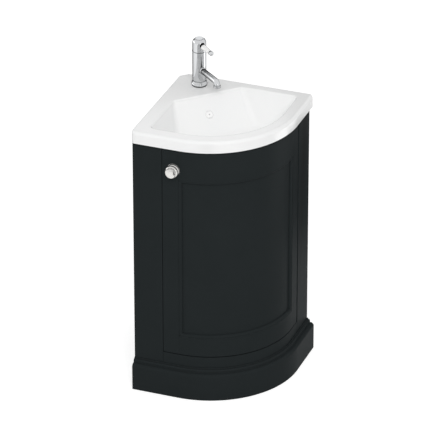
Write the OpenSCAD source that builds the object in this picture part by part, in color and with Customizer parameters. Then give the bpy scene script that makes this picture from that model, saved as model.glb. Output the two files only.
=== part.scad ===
// Corner vanity unit: quarter-round cabinet with a curved framed door, moulded plinth,
// ceramic corner basin, single-lever mixer tap and click waste. All sizes in millimetres.
// Pieces are drawn in the room corner: u runs along the back wall, v along the left wall
// towards the room, z up from the floor. to_frame() moves that corner frame to the
// centre of the footprint. NODES lists every piece.

/* [Shared plan] */
// straight length at each wall end, before the front starts to curve
bend_at = 147; // [140:1:155]
// length of the cabinet's faces from the room corner
face_l = 408; // [400:1:416]
// how far the plinth stands out from the faces
plinth_t = 22; // [20:1:26]
// how far the basin overhangs the faces
basin_over = 13; // [11:1:15]

/* [Plinth] */
// height of the plinth with its moulded top
plinth_h = 102; // [96:1:108]
// height of the plain face under the moulding
plinth_face_h = 78; // [74:1:82]

/* [Carcass] */
// top of the cabinet, where the basin sits
carcass_h = 832; // [820:1:850]
// thickness of the wall-side panels
panel_t = 15; // [12:1:18]
// thickness of the face stiles and bottom rail
stile_t = 18; // [16:1:20]
// width of each fixed face stile
stile_w = 92; // [88:1:96]
// height that the bottom rail shows above the plinth
rail_h = 35; // [30:1:40]
// side of the square post in the room corner
post_w = 34; // [30:1:38]
// depth of the curved top rail behind the door
top_rail_h = 50; // [40:1:56]
// thickness of that top rail
top_rail_t = 12; // [9:1:12]
// joint line shown between a stile and the bottom rail
shadow_gap = 0.8; // [0.5:0.1:1.2]
// wall fixings below the top of the cabinet
fixing_drop = 87; // [80:1:95]
// top of the pipe opening below the top of the cabinet
pipe_drop = 232; // [220:1:260]
// length of the screws into the cabinet's floor
floor_screw_l = 45; // [40:1:50]
// length of the screws into the corner post
post_screw_l = 28; // [24:1:32]
// those screws from each end of the post
post_screw_in = 120; // [100:1:140]

/* [Door] */
// thickness of the door
door_t = 16; // [14:1:18]
// gap round the door
door_gap = 1.5; // [1.5:0.1:2]
// gap under the door, filled at the pivot by its collar
door_foot_gap = 3; // [2.6:0.1:4]
// height of the door's top rail
door_top_rail = 99; // [90:1:110]
// height of the door's bottom rail
door_bottom_rail = 62; // [55:1:70]
// how far the panel lies behind the door's face
panel_recess = 8; // [7:0.5:9]
// width of the bead round the panel
bead_w = 10; // [9:0.5:12]
// height of that bead above the panel
bead_h = 7; // [5:0.5:7]

/* [Knob] */
// knob diameter
knob_d = 40; // [34:1:42]
// how far the knob stands off the door
knob_l = 30; // [26:1:32]
// knob centre along the back wall
knob_u = 129; // [124:1:130]
// knob centre below the top of the door
knob_drop = 67.5; // [60:0.5:74]

/* [Basin] */
// height of the basin's front skirt
skirt_h = 38; // [34:1:44]
// thickness of the skirt
skirt_t = 11; // [9:1:12]
// thickness of the flat deck
deck_t = 12; // [10:1:14]
// radius of the rolled front edge
edge_r = 10; // [6:1:11]
// radius of the basin's two ends in plan
tip_r = 13; // [12:1:16]
// cut across the rear corner, along each wall
corner_cut = 22; // [16:1:26]

/* [Bowl] */
// depth of the bowl under the rim
bowl_depth = 112; // [105:1:116]
// left edge of the bowl from the left wall
bowl_left = 46; // [42:1:50]
// back edge of the bowl from the back wall
bowl_back = 33; // [32:1:42]
// rear edge of the bowl: u plus v on that line
bowl_rear = 237; // [232:1:242]
// width of the rim in front of the bowl
bowl_front = 45; // [44:1:50]
// centre of that edge beyond the shared bend, along the back wall
bowl_shift = 3; // [0:1:4]
// lean of the rear wall from upright, degrees
rear_lean = 36; // [32:1:38]
// lean of the other walls, degrees
side_lean = 22; // [20:1:24]
// fillet between the walls and the bowl's floor
bowl_fillet = 45; // [40:1:48]
// thickness of the ceramic round the bowl
bowl_t = 10; // [9:1:12]

/* [Tap] */
// tap centre from the left wall
tap_u = 78.3; // [74:0.1:82]
// tap centre from the back wall
tap_v = 59.6; // [58:0.1:64]
// height of the tap above the basin
tap_h = 155; // [151:1:159]
// diameter of the tap's column
column_d = 41.4; // [40:0.2:43]
// height of the seam between column and head
seam_z = 113; // [108:1:116]
// direction of spout and lever, turned from the back wall towards the room
aim = 40; // [30:1:45]
// how far the spout reaches from the tap's centre
spout_reach = 108; // [100:1:114]
// height of the spout on the column
spout_z = 54.5; // [52:0.5:58]
// outside diameter of the spout tube
spout_d = 18; // [17:0.5:19]
// height of the lever above the basin
lever_z = 134; // [133:0.5:135]
// end of the lever from the tap's centre
lever_end = 80; // [78:1:86]

/* [Waste] */
// diameter of the waste's flange
waste_flange_d = 63; // [60:1:64]
// travel of the click plug
plug_travel = 6; // [5:1:7]
// width of the waste's overflow slots
waste_slot_w = 18; // [14:1:18]
// height of those slots
waste_slot_h = 10; // [8:1:10]
// length of the waste's plain tail
waste_tail_l = 38; // [34:1:40]

/* [Clearances] */
// play between a pivot pin and its bush, on the radius
pivot_play = 0.06; // [0.03:0.01:0.1]
// play between a loose trim piece and its seat
trim_play = 0.2; // [0.1:0.05:0.3]
// play between a screw and its hole, on the radius
screw_play = 0.1; // [0.05:0.05:0.2]
// play between the bowl and the rail in front of it
bowl_clear = 3; // [2:0.5:4]

/* [View] */

/* [Hidden] */
$fn = 64;
e = 0.01;
plinth_l = face_l + plinth_t;
basin_l = face_l + basin_over;
knob_tip = face_l + knob_l;
centre_u = plinth_l / 2;
centre_v = max(plinth_l, knob_tip) / 2;
rail_top = plinth_h + rail_h;
carcass_l = face_l - stile_t;
floor_t = 18;
rail_hidden = 42;

door_back = face_l - door_t;
door_z0 = rail_top + door_foot_gap;
door_z1 = carcass_h - 3.5;
door_edge = stile_w + door_gap;
knob_z = door_z1 - knob_drop;
catch_mid = (door_z0 + door_z1) / 2;
stile_in = bend_at - 3;
open_z0 = door_z0 + door_bottom_rail;
open_z1 = door_z1 - door_top_rail;
panel_face = face_l - panel_recess;
rebate = 8;
pivot_u = face_l - door_t / 2;
pivot_v = door_edge + door_t / 2;
pin_r = 3;
pin_hole_r = pin_r + pivot_play;
bush_r = 5;
bush_l = 18;

rim_z = carcass_h + skirt_h;
deck_z = rim_z - deck_t;
bowl_floor = rim_z - bowl_depth;
fillet_z = bowl_floor + bowl_fillet;
lip_h = 7;
lip_w = 5.5;
lip_z = rim_z - lip_h;
wall_drop = lip_z - fillet_z;
side_in = wall_drop * tan(side_lean) + bowl_fillet / cos(side_lean);
rear_in = (wall_drop * tan(rear_lean) + bowl_fillet / cos(rear_lean)) * sqrt(2);
bowl_r = basin_l - bend_at - bowl_front;
floor_r = bowl_r - side_in;
floor_u = bowl_left + side_in;
floor_v = bowl_back + side_in;
floor_rear = bowl_rear + rear_in;
floor_front = bend_at + bowl_shift / 2 + floor_r / sqrt(2);
waste_at = (floor_rear / 2 + floor_front) / 2;
bowl_cu = bend_at + bowl_shift;
corner_r = 14;
rear_r = 22;

waste_hole_r = 23;
waste_boss_r = 38;
waste_boss_z = bowl_floor - 28;
waste_tube_r = 20.95;
waste_bore_r = 17;
waste_recess = 3;
waste_end = waste_boss_z - 62;
duct_z = bowl_floor - 14.6;
duct_r = 7;
duct_step = 0.6;
duct_wall = 6;
over_depth = 51;
over_z = rim_z - over_depth;
over_s = bowl_rear / sqrt(2) + (lip_z - over_z) * tan(rear_lean);
over_set = 16;
ring_r = 12;
ring_bore = 8.5;

column_r = column_d / 2;
shank_r = 17;
deck_hole_r = 17.5;
head_z = seam_z + 1.3;
head_r = column_r - 0.1;
head_floor_z = seam_z + 7;
head_void_z = head_floor_z + 3.5;
head_bore = 16.5;
shoulder_z = 140.5;
cap_r = 12;
cap_t = 2.4;
cap_z = tap_h - cap_t;
hub_r = 8;
arm_r = 4.2;
lever_pin_r = 2;
slot_r = 8.7;
slot_z = lever_z + 3.6;
ferrule_at = 23;
ferrule_l = 2;
spout_r = spout_d / 2;
spout_bend = 11;
nozzle_z = spout_z - spout_bend - 7;

screw_r = 2.5;
screw_head_r = 5;
screw_head_h = 3;
plug_stem_r = 4;
plug_r = 29;
plug_seat = bowl_floor + plug_travel + 0.3;

paint = [0.15, 0.165, 0.17];
board = [0.23, 0.24, 0.25];
white = [0.93, 0.93, 0.92];
chrome = [0.78, 0.79, 0.8];
brass = [0.75, 0.62, 0.35];
steel = [0.6, 0.61, 0.62];
black_rubber = [0.1, 0.1, 0.1];
grey_plastic = [0.5, 0.5, 0.52];

// ---------- frames and shared outlines ----------

// moves the room-corner frame to the centre of the footprint; v turns round to face -y
module to_frame() {
  translate([-centre_u, centre_v, 0])
    mirror([0, 1, 0])
      children();
}

// quarter plan with straight ends, for a piece whose wall length is l
module quarter_plan(l) {
  square([l, bend_at]);
  square([bend_at, l]);
  intersection() {
    square([l, l]);
    translate([bend_at, bend_at])
      circle(r = l - bend_at, $fn = 180);
  }
}

// band between two such outlines, kept clear of the walls by from
module front_band(l_in, l_out, from) {
  intersection() {
    difference() {
      quarter_plan(l_out);
      quarter_plan(l_in);
    }
    translate([from, from])
      square([l_out, l_out]);
  }
}

// sweeps a profile (x out from the line l, y up) along the front, starting from from
module sweep_front(l, from) {
  translate([from, l, 0])
    rotate([90, 0, 90])
      linear_extrude(bend_at - from)
        children();
  translate([bend_at, bend_at, 0])
    rotate_extrude(angle = 90, $fn = 180)
      translate([l - bend_at, 0])
        children();
  translate([l, bend_at, 0])
    rotate([90, 0, 0])
      linear_extrude(bend_at - from)
        children();
}

// rectangle in plan with its two far corners rounded
module soft_bar(w, d, r) {
  square([w, d - r]);
  translate([r, 0])
    square([w - 2 * r, d]);
  for (x = [r, w - r])
    translate([x, d - r])
      circle(r = r, $fn = 32);
}

// cutter that rounds an outer top corner: origin on the corner, x out, y up
module edge_bite(r) {
  difference() {
    translate([-r, -r])
      square([r + 1, r + 1]);
    translate([-r, -r])
      circle(r = r);
  }
}

module tube(r_out, r_in, h) {
  difference() {
    cylinder(r = r_out, h = h);
    translate([0, 0, -1])
      cylinder(r = r_in, h = h + 2);
  }
}

// ---------- carcass ----------

// countersunk screw along +z, head down at z = 0
module csk_screw(l, grow = 0) {
  difference() {
    union() {
      cylinder(r1 = screw_head_r + grow, r2 = screw_r + grow, h = screw_head_h, $fn = 32);
      cylinder(r = screw_r + grow, h = l + grow, $fn = 32);
    }
    if (grow == 0) {
      translate([-3, -0.5, -1])
        cube([6, 1, 2.6]);
      translate([-0.5, -3, -1])
        cube([1, 6, 2.6]);
    }
  }
}

// the eight screws that hold the panels to the floor and the corner post
module carcass_screw_set(grow = 0) {
  post_mid = panel_t + post_w / 2;
  for (p = [bend_at - 17, carcass_l - 70]) {
    translate([0, p, rail_top - floor_t / 2])
      rotate([0, 90, 0])
        csk_screw(floor_screw_l, grow);
    translate([p, 0, rail_top - floor_t / 2])
      rotate([-90, 0, 0])
        csk_screw(floor_screw_l, grow);
  }
  for (z = [rail_top + post_screw_in, carcass_h - post_screw_in]) {
    translate([0, post_mid, z])
      rotate([0, 90, 0])
        csk_screw(post_screw_l, grow);
    translate([post_mid, 0, z + 30])
      rotate([-90, 0, 0])
        csk_screw(post_screw_l, grow);
  }
}

module wall_hole(z) {
  translate([0, 0, z])
    rotate([0, 90, 0])
      cylinder(r = 3, h = 3 * panel_t, center = true, $fn = 32);
}

module left_panel() {
  color(board)
    to_frame()
      difference() {
        translate([0, panel_t, 0])
          cube([panel_t, carcass_l - panel_t, carcass_h]);
        carcass_screw_set(screw_play);
        for (y = [100, carcass_l - 50])
          translate([0, y, 0])
            wall_hole(carcass_h - fixing_drop);
      }
}

// back panel with the service opening for pipes behind the waste
module back_panel() {
  open_u = 70;
  open_w = 130;
  open_h = 180;
  open_z = carcass_h - pipe_drop - open_h;
  r = 3;
  color(board)
    to_frame()
      difference() {
        cube([carcass_l, panel_t, carcass_h]);
        translate([open_u + r, -1, open_z])
          cube([open_w - 2 * r, panel_t + 2, open_h]);
        translate([open_u, -1, open_z + r])
          cube([open_w, panel_t + 2, open_h - 2 * r]);
        for (x = [open_u + r, open_u + open_w - r], z = [open_z + r, open_z + open_h - r])
          translate([x, -1, z])
            rotate([-90, 0, 0])
              cylinder(r = r, h = panel_t + 2, $fn = 32);
        carcass_screw_set(screw_play);
        for (x = [100, carcass_l - 50])
          translate([x, 0, 0])
            rotate([0, 0, 90])
              wall_hole(carcass_h - fixing_drop);
      }
}

module corner_post() {
  color(board)
    to_frame()
      difference() {
        translate([panel_t, panel_t, rail_top])
          linear_extrude(carcass_h - rail_top)
            difference() {
              square([post_w, post_w]);
              translate([post_w, post_w])
                rotate(45)
                  square([8, 40], center = true);
            }
        carcass_screw_set(screw_play);
      }
}

module floor_panel() {
  color(board)
    to_frame()
      difference() {
        translate([0, 0, rail_top - floor_t])
          linear_extrude(floor_t)
            intersection() {
              quarter_plan(carcass_l);
              translate([panel_t, panel_t])
                square([carcass_l, carcass_l]);
            }
        carcass_screw_set(screw_play);
      }
}

// left face stile, with the recess and holes that the catch needs left to its own screws
module left_face_stile() {
  color(paint)
    to_frame()
      difference() {
        translate([0, carcass_l, 0])
          linear_extrude(carcass_h)
            soft_bar(stile_w, stile_t, 1.2);
        catch_screw_set(screw_play);
      }
}

module right_face_stile() {
  color(paint)
    to_frame()
      difference() {
        translate([carcass_l, 0, 0])
          linear_extrude(carcass_h)
            translate([0, stile_w])
              rotate(-90)
                soft_bar(stile_w, stile_t, 1.2);
        plate_solid(trim_play);
        plate_screw_set(screw_play);
      }
}

module bottom_rail() {
  color(paint)
    to_frame()
      difference() {
        translate([0, 0, plinth_h - rail_hidden])
          linear_extrude(rail_h + rail_hidden)
            front_band(carcass_l, face_l, stile_w + shadow_gap);
        bottom_pin_solid(0.02);
      }
}

// rail behind the door's top, its back edge relieved where the bowl leans past it
module top_rail() {
  drop = lip_z - carcass_h + top_rail_h;
  color(board)
    to_frame()
      difference() {
        translate([0, 0, carcass_h - top_rail_h])
          linear_extrude(top_rail_h)
            front_band(carcass_l - top_rail_t, carcass_l, 60);
        sweep_front(bowl_cu + bowl_r + bowl_t + bowl_clear, 0)
          polygon([
            [0, lip_z],
            [-drop * tan(side_lean), lip_z - drop],
            [-drop - bowl_t, lip_z - drop],
            [-drop - bowl_t, lip_z]
          ]);
      }
}

// plinth moulding: plain face, ovolo, quirk, small bead and fillet up to the cabinet face
module plinth_profile() {
  square([plinth_t, plinth_face_h]);
  square([plinth_t - 10, plinth_face_h + 10]);
  translate([plinth_t - 10, plinth_face_h])
    circle(r = 10);
  square([9.5, plinth_h - 8]);
  translate([4.5, plinth_h - 8])
    circle(r = 4.5, $fn = 32);
  square([3, plinth_h]);
}

module plinth() {
  color(paint)
    to_frame()
      sweep_front(face_l, 0)
        intersection() {
          plinth_profile();
          square([plinth_t, plinth_h]);
        }
}

module carcass_screws() {
  color(steel)
    to_frame()
      carcass_screw_set();
}

// ---------- basin ----------

// basin outline: quarter plan with rounded ends and the rear corner cut across
module basin_plan(inset = 0) {
  l = basin_l - inset;
  r = tip_r - inset;
  difference() {
    union() {
      intersection() {
        union() {
          translate([inset, inset])
            square([bend_at - inset, l - tip_r]);
          translate([tip_r, inset])
            square([bend_at - tip_r, l - inset]);
          translate([inset, inset])
            square([l - tip_r, bend_at - inset]);
          translate([inset, tip_r])
            square([l - inset, bend_at - tip_r]);
          translate([bend_at, bend_at])
            circle(r = l - bend_at, $fn = 180);
        }
        difference() {
          translate([inset, inset])
            square([l - inset, l - inset]);
          translate([-1, l - r])
            square([tip_r + 1, r + 1]);
          translate([l - r, -1])
            square([r + 1, tip_r + 1]);
        }
      }
      translate([tip_r, l - r])
        circle(r = max(r, 1));
      translate([l - r, tip_r])
        circle(r = max(r, 1));
    }
    rotate(45)
      square([corner_cut * sqrt(2) + 2 * inset, 4 * corner_cut], center = true);
  }
}

// rolled top edge: one cutter along the front, one round each end, small ones at the walls
module basin_edge_cutters() {
  small_r = 4;
  translate([0, 0, rim_z]) {
    sweep_front(basin_l, tip_r)
      edge_bite(edge_r);
    translate([tip_r, basin_l - tip_r, 0])
      rotate([0, 0, 90])
        rotate_extrude(angle = 90)
          translate([tip_r, 0])
            edge_bite(edge_r);
    translate([basin_l - tip_r, tip_r, 0])
      rotate([0, 0, -90])
        rotate_extrude(angle = 90)
          translate([tip_r, 0])
            edge_bite(edge_r);
    translate([0, 0, 0])
      rotate([90, 0, 180])
        linear_extrude(basin_l - tip_r)
          edge_bite(small_r);
    translate([basin_l - tip_r, 0, 0])
      rotate([90, 0, -90])
        linear_extrude(basin_l - tip_r)
          edge_bite(small_r);
  }
}

// outline of the bowl's mouth, grown by g, as a thin slice at height z
module bowl_slice(z, g) {
  rear_shift = rear_r * (sqrt(2) - 1);
  translate([0, 0, z]) {
    translate([bowl_left + corner_r, bend_at + bowl_r - corner_r, 0])
      cylinder(r = corner_r + g, h = e, $fn = 32);
    translate([bowl_cu + bowl_r - corner_r, bowl_back + corner_r, 0])
      cylinder(r = corner_r + g, h = e, $fn = 32);
    translate([bowl_left + rear_r, bowl_rear - bowl_left + rear_shift, 0])
      cylinder(r = rear_r + g, h = e, $fn = 32);
    translate([bowl_rear - bowl_back + rear_shift, bowl_back + rear_r, 0])
      cylinder(r = rear_r + g, h = e, $fn = 32);
    translate([bowl_cu, bend_at, 0])
      rotate_extrude(angle = 90, $fn = 96)
        translate([bowl_r - 20, 0])
          square([20 + g, e]);
  }
}

// the bowl as one smooth hull: mouth slice above, filleted floor below, grown by g
module bowl_body(g, top) {
  r = bowl_fillet + g;
  hull() {
    bowl_slice(lip_z + top, g);
    for (p = [
      [floor_u, bend_at + floor_r],
      [floor_u, floor_rear - floor_u],
      [floor_rear - floor_v, floor_v],
      [bowl_cu + floor_r, floor_v]
    ])
      translate([p[0], p[1], fillet_z])
        sphere(r = r, $fn = 40);
    translate([bowl_cu, bend_at, fillet_z])
      rotate_extrude(angle = 90, $fn = 80)
        translate([floor_r, 0])
          circle(r = r, $fn = 40);
  }
}

// two chamfer steps that stand for the rolled inner lip
module bowl_lip() {
  hull() {
    bowl_slice(lip_z - e, 0);
    bowl_slice(rim_z - lip_h * 0.38, lip_w * 0.38);
  }
  hull() {
    bowl_slice(rim_z - lip_h * 0.38, lip_w * 0.38);
    bowl_slice(rim_z + e, lip_w);
  }
}

// places children on the rear wall at the overflow, z out of the wall into the bowl
module at_overflow() {
  translate([over_s / sqrt(2), over_s / sqrt(2), over_z])
    rotate([0, 0, 45])
      rotate([0, 90 - rear_lean, 0])
        children();
}

// overflow duct cast behind the bowl: down the rear wall, then level to the waste;
// the level run is a little wider, so that the other ends inside it
module overflow_duct(r) {
  s0 = over_s - over_set * cos(rear_lean);
  z0 = over_z - over_set * sin(rear_lean);
  s1 = s0 + (z0 - duct_z) * tan(rear_lean);
  start = s1 - r - 1;
  rotate([0, 0, 45]) {
    translate([s0, 0, z0])
      rotate([0, 180 - rear_lean, 0])
        translate([0, 0, -r])
          cylinder(r = r - duct_step, h = (z0 - duct_z) / cos(rear_lean) + r);
    translate([start, 0, duct_z])
      rotate([0, 90, 0])
        cylinder(r = r, h = waste_at * sqrt(2) - start);
  }
}

module basin() {
  color(white)
    to_frame()
      difference() {
        union() {
          difference() {
            translate([0, 0, carcass_h])
              linear_extrude(skirt_h)
                basin_plan();
            basin_edge_cutters();
            translate([0, 0, carcass_h - 1])
              linear_extrude(deck_z - carcass_h + 1)
                basin_plan(skirt_t);
          }
          intersection() {
            bowl_body(bowl_t, -2);
            translate([0, 0, waste_boss_z - 100])
              cube([basin_l, basin_l, deck_z + 100 - waste_boss_z + 2]);
          }
          overflow_duct(duct_r + duct_wall);
          translate([waste_at, waste_at, waste_boss_z])
            cylinder(r = waste_boss_r, h = bowl_floor - waste_boss_z - 1);
        }
        bowl_body(0, 0);
        bowl_lip();
        overflow_duct(duct_r);
        at_overflow()
          translate([0, 0, -over_set])
            cylinder(r = ring_bore + 1, h = over_set + 1);
        at_overflow()
          translate([0, 0, -1])
            cylinder(r = ring_r + trim_play, h = 6);
        translate([waste_at, waste_at, waste_boss_z - 1])
          cylinder(r = waste_hole_r, h = 60);
        translate([waste_at, waste_at, bowl_floor - waste_recess])
          cylinder(r = waste_flange_d / 2 + trim_play, h = 20);
        translate([tap_u, tap_v, carcass_h])
          cylinder(r = deck_hole_r, h = skirt_h + 1);
      }
}

// chrome ring set into the overflow
module overflow_ring() {
  color(chrome)
    to_frame()
      at_overflow()
        translate([0, 0, -1])
          difference() {
            union() {
              rotate_extrude()
                translate([ring_bore, 0])
                  difference() {
                    square([ring_r - ring_bore, 2.6]);
                    translate([ring_r - ring_bore, 2.6])
                      edge_bite(1.6);
                  }
              translate([0, 0, -6])
                cylinder(r = ring_bore + 1 - trim_play, h = 7);
            }
            translate([0, 0, -7])
              cylinder(r = ring_bore - 1, h = 20);
            translate([0, 0, 1.4])
              cylinder(r1 = ring_bore - 1, r2 = ring_bore, h = 1.3);
          }
}

// ---------- waste ----------

module at_waste(z) {
  translate([waste_at, waste_at, z])
    children();
}

// turned brass waste: dished flange, slotted tube and threaded tail
module waste_body() {
  color(chrome)
    to_frame()
      at_waste(0)
        difference() {
          union() {
            translate([0, 0, bowl_floor - waste_recess])
              cylinder(r = waste_flange_d / 2, h = waste_recess);
            translate([0, 0, waste_end])
              cylinder(r = waste_tube_r, h = bowl_floor - waste_end - 1);
          }
          translate([0, 0, waste_end - 1])
            cylinder(r = waste_bore_r, h = bowl_floor - waste_end + 2);
          translate([0, 0, bowl_floor - 2])
            cylinder(r1 = waste_bore_r, r2 = waste_flange_d / 2 - 5, h = 2 + e);
          for (a = [45, 135])
            rotate([0, 0, a])
              translate([0, 0, duct_z])
                cube([2 * waste_tube_r + 2, waste_slot_w, waste_slot_h], center = true);
          translate([0, 0, waste_end + waste_tail_l])
            tube(waste_tube_r + 1, waste_tube_r - 1.2, 3);
          translate([0, 0, waste_end - 1])
            difference() {
              cylinder(r = waste_tube_r + 1, h = 2.5);
              cylinder(r1 = waste_tube_r - 2.5, r2 = waste_tube_r, h = 2.5);
            }
        }
}

// guide that carries the click plug inside the waste
module waste_guide() {
  color(grey_plastic)
    to_frame()
      at_waste(bowl_floor - 46)
        difference() {
          union() {
            cylinder(r = 8, h = 28);
            tube(waste_bore_r, waste_bore_r - 2, 6);
            for (a = [0, 60, 120])
              rotate([0, 0, a])
                translate([-waste_bore_r + 1, -1.25, 0])
                  cube([2 * waste_bore_r - 2, 2.5, 6]);
          }
          translate([0, 0, 4])
            cylinder(r = plug_stem_r + pivot_play, h = 30);
        }
}

module waste_gasket() {
  color(black_rubber)
    to_frame()
      at_waste(waste_boss_z - 4)
        tube(30, waste_tube_r, 4);
}

// backnut with six gripping flats
module waste_nut() {
  color(brass)
    to_frame()
      at_waste(waste_boss_z - 14)
        difference() {
          union() {
            cylinder(r = 31, h = 7, $fn = 6);
            translate([0, 0, 7])
              cylinder(r = 28, h = 3);
          }
          translate([0, 0, -1])
            cylinder(r = waste_tube_r, h = 12);
        }
}

// domed click plug, shown open
module plug_cap() {
  color(chrome)
    to_frame()
      at_waste(plug_seat)
        difference() {
          union() {
            cylinder(r = plug_r, h = 2.4);
            intersection() {
              translate([0, 0, 5.6 - 110])
                sphere(r = 110, $fn = 160);
              translate([0, 0, 2])
                cylinder(r = plug_r, h = 4);
            }
          }
          translate([0, 0, -1])
            tube(23, 19.5, 2.2);
        }
}

module plug_seal() {
  color(black_rubber)
    to_frame()
      at_waste(plug_seat - 0.2)
        tube(23, 19.5, 1.4);
}

module plug_stem() {
  color(brass)
    to_frame()
      at_waste(0)
        union() {
          translate([0, 0, bowl_floor - 34])
            cylinder(r = plug_stem_r, h = plug_seat - bowl_floor + 34);
          translate([0, 0, plug_seat - 3])
            cylinder(r = 7, h = 3);
        }
}

// ---------- tap ----------

module at_tap(z = 0) {
  translate([tap_u, tap_v, rim_z + z])
    children();
}

// turns children so that +x points along the spout and lever
module aimed() {
  rotate([0, 0, aim])
    children();
}

module tap_gasket() {
  color(black_rubber)
    to_frame()
      at_tap()
        tube(22.5, shank_r + 0.6, 1.5);
}

// stepped base: rolled bead and ovolo under the column
module tap_base() {
  color(chrome)
    to_frame()
      at_tap(1.5)
        rotate_extrude($fn = 96)
          translate([shank_r + 0.3, 0])
            intersection() {
              union() {
                square([3.2, 15.5 - 1.5]);
                square([6.7 - 1, 9]);
                translate([2.2, 4.5])
                  circle(r = 4.5);
                translate([2.4, 9])
                  circle(r = 2.6, $fn = 32);
              }
              square([8, 14]);
            }
}

// column with mixing chamber, two inlets, stud hole and spout port
module tap_column() {
  color(chrome)
    to_frame()
      at_tap()
        difference() {
          union() {
            translate([0, 0, -8])
              cylinder(r = shank_r, h = 30);
            translate([0, 0, 15.5])
              cylinder(r = column_r - 1.6, h = 3.5);
            translate([0, 0, 18])
              rotate_extrude($fn = 96)
                difference() {
                  square([column_r, seam_z - 18]);
                  translate([column_r, 0])
                    mirror([0, 1])
                      edge_bite(1.2);
                  translate([column_r, seam_z - 18])
                    edge_bite(0.8);
                }
          }
          translate([0, 0, 26])
            cylinder(r = 15, h = seam_z);
          for (s = [-1, 1])
            translate([8 * s, 4, -9])
              cylinder(r = 5, h = 50, $fn = 32);
          translate([0, -9, -9])
            cylinder(r = 4, h = 21, $fn = 32);
          aimed()
            translate([0, 0, spout_z])
              rotate([0, 90, 0])
                cylinder(r = 7.1, h = 30);
        }
}

// seam ring with the upstand that the head turns on
module seam_ring() {
  color(chrome)
    to_frame()
      at_tap(seam_z)
        rotate_extrude($fn = 96)
          union() {
            translate([13, 0])
              square([column_r + 0.3 - 13, 1]);
            translate([column_r + 0.3, 0.5])
              circle(r = 0.5, $fn = 24);
            translate([13, 0])
              square([head_bore - 0.08 - 13, 6.5]);
          }
}

// ceramic-disc cartridge
module cartridge() {
  color(grey_plastic)
    to_frame()
      at_tap()
        difference() {
          union() {
            translate([0, 0, 84])
              cylinder(r = 15 - trim_play, h = 28);
            translate([0, 0, 112])
              cylinder(r = 13 - trim_play, h = 6);
          }
          translate([0, 0, 100])
            cylinder(r = 5 + pivot_play, h = 20);
          for (a = [0, 120, 240])
            rotate([0, 0, a])
              translate([8, 0, 83])
                cylinder(r = 3, h = 12, $fn = 32);
        }
}

// straight tube, quarter bend and down-turned end, in the lever's upright plane
module spout_path(r, from, tail) {
  straight = spout_reach - spout_bend;
  translate([0, 0, spout_z]) {
    translate([from, 0, 0])
      rotate([0, 90, 0])
        cylinder(r = r, h = straight - from, $fn = 48);
    translate([straight, 0, -spout_bend])
      rotate([90, 0, 0])
        rotate_extrude(angle = 90, $fn = 72)
          translate([spout_bend, 0])
            circle(r = r, $fn = 48);
    translate([spout_reach, 0, -spout_bend - tail])
      cylinder(r = r, h = tail, $fn = 48);
  }
}

// root ring of the spout, with a rounded outer edge
module spout_root() {
  ring_h = 6;
  rotate([0, 90, 0])
    translate([0, 0, column_r - 4])
      rotate_extrude($fn = 48)
        union() {
          square([spout_r + 1.6, ring_h]);
          translate([spout_r, ring_h])
            circle(r = 1.6, $fn = 24);
        }
}

// spout, coped to the column, with a spigot into its port
module spout() {
  color(chrome)
    to_frame()
      at_tap()
        aimed()
          difference() {
            union() {
              difference() {
                union() {
                  spout_path(spout_r, 10, 3);
                  translate([0, 0, spout_z])
                    spout_root();
                }
                cylinder(r = column_r, h = 100, $fn = 96);
              }
              translate([column_r - 4, 0, spout_z])
                rotate([0, 90, 0])
                  cylinder(r = 7, h = 10);
            }
            spout_path(5.6, 0, 10);
          }
}

module at_nozzle(z) {
  at_tap()
    aimed()
      translate([spout_reach, 0, nozzle_z + z])
        children();
}

// ring round the end of the spout, with a lip under it
module aerator_ring() {
  lip = 4;
  color(chrome)
    to_frame()
      at_nozzle(0)
        rotate_extrude($fn = 72)
          difference() {
            translate([spout_r - 1, 0])
              square([2.6, 7]);
            translate([spout_r - 2, lip])
              square([2 + trim_play, 4]);
            translate([spout_r + 1.6, 7])
              edge_bite(1);
            translate([spout_r + 1.6, 0])
              mirror([0, 1])
                edge_bite(0.8);
          }
}

module aerator_screen() {
  color(grey_plastic)
    to_frame()
      at_nozzle(1)
        difference() {
          cylinder(r = spout_r - 1, h = 2.6);
          for (x = [-4 : 2 : 4], y = [-4 : 2 : 4])
            translate([x, y, -1])
              cylinder(r = 0.6, h = 5, $fn = 16);
        }
}

module tap_stud() {
  color(brass)
    to_frame()
      at_tap(-75)
        translate([0, -9, 0])
          cylinder(r = 4 - screw_play, h = 87, $fn = 32);
}

// horseshoe shape shared by the clamp's rubber and steel pieces
module horseshoe(h) {
  difference() {
    cylinder(r = 24, h = h);
    translate([0, -9, -1])
      cylinder(r = 4, h = h + 2, $fn = 32);
    translate([-14.5, -2.5, -1])
      cube([29, 30, h + 2]);
  }
}

module clamp_gasket() {
  color(black_rubber)
    to_frame()
      at_tap(-deck_t - 3)
        horseshoe(3);
}

module clamp_plate() {
  color(steel)
    to_frame()
      at_tap(-deck_t - 6)
        horseshoe(3);
}

module stud_nut() {
  color(brass)
    to_frame()
      at_tap(-deck_t - 14)
        translate([0, -9, 0])
          difference() {
            cylinder(r = 7.5, h = 8, $fn = 6);
            translate([0, 0, -1])
              cylinder(r = 4, h = 10, $fn = 32);
          }
}

// domed shell: cylinder, curved shoulder and flat seat for the cap
module head_profile() {
  dome_h = cap_z - shoulder_z;
  dome_r = 14;
  square([head_r, shoulder_z - head_z]);
  intersection() {
    translate([head_r - dome_r, shoulder_z - head_z])
      circle(r = dome_r, $fn = 96);
    square([head_r, cap_z - head_z]);
  }
  translate([0, shoulder_z - head_z])
    square([head_r - dome_r, dome_h]);
}

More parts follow.
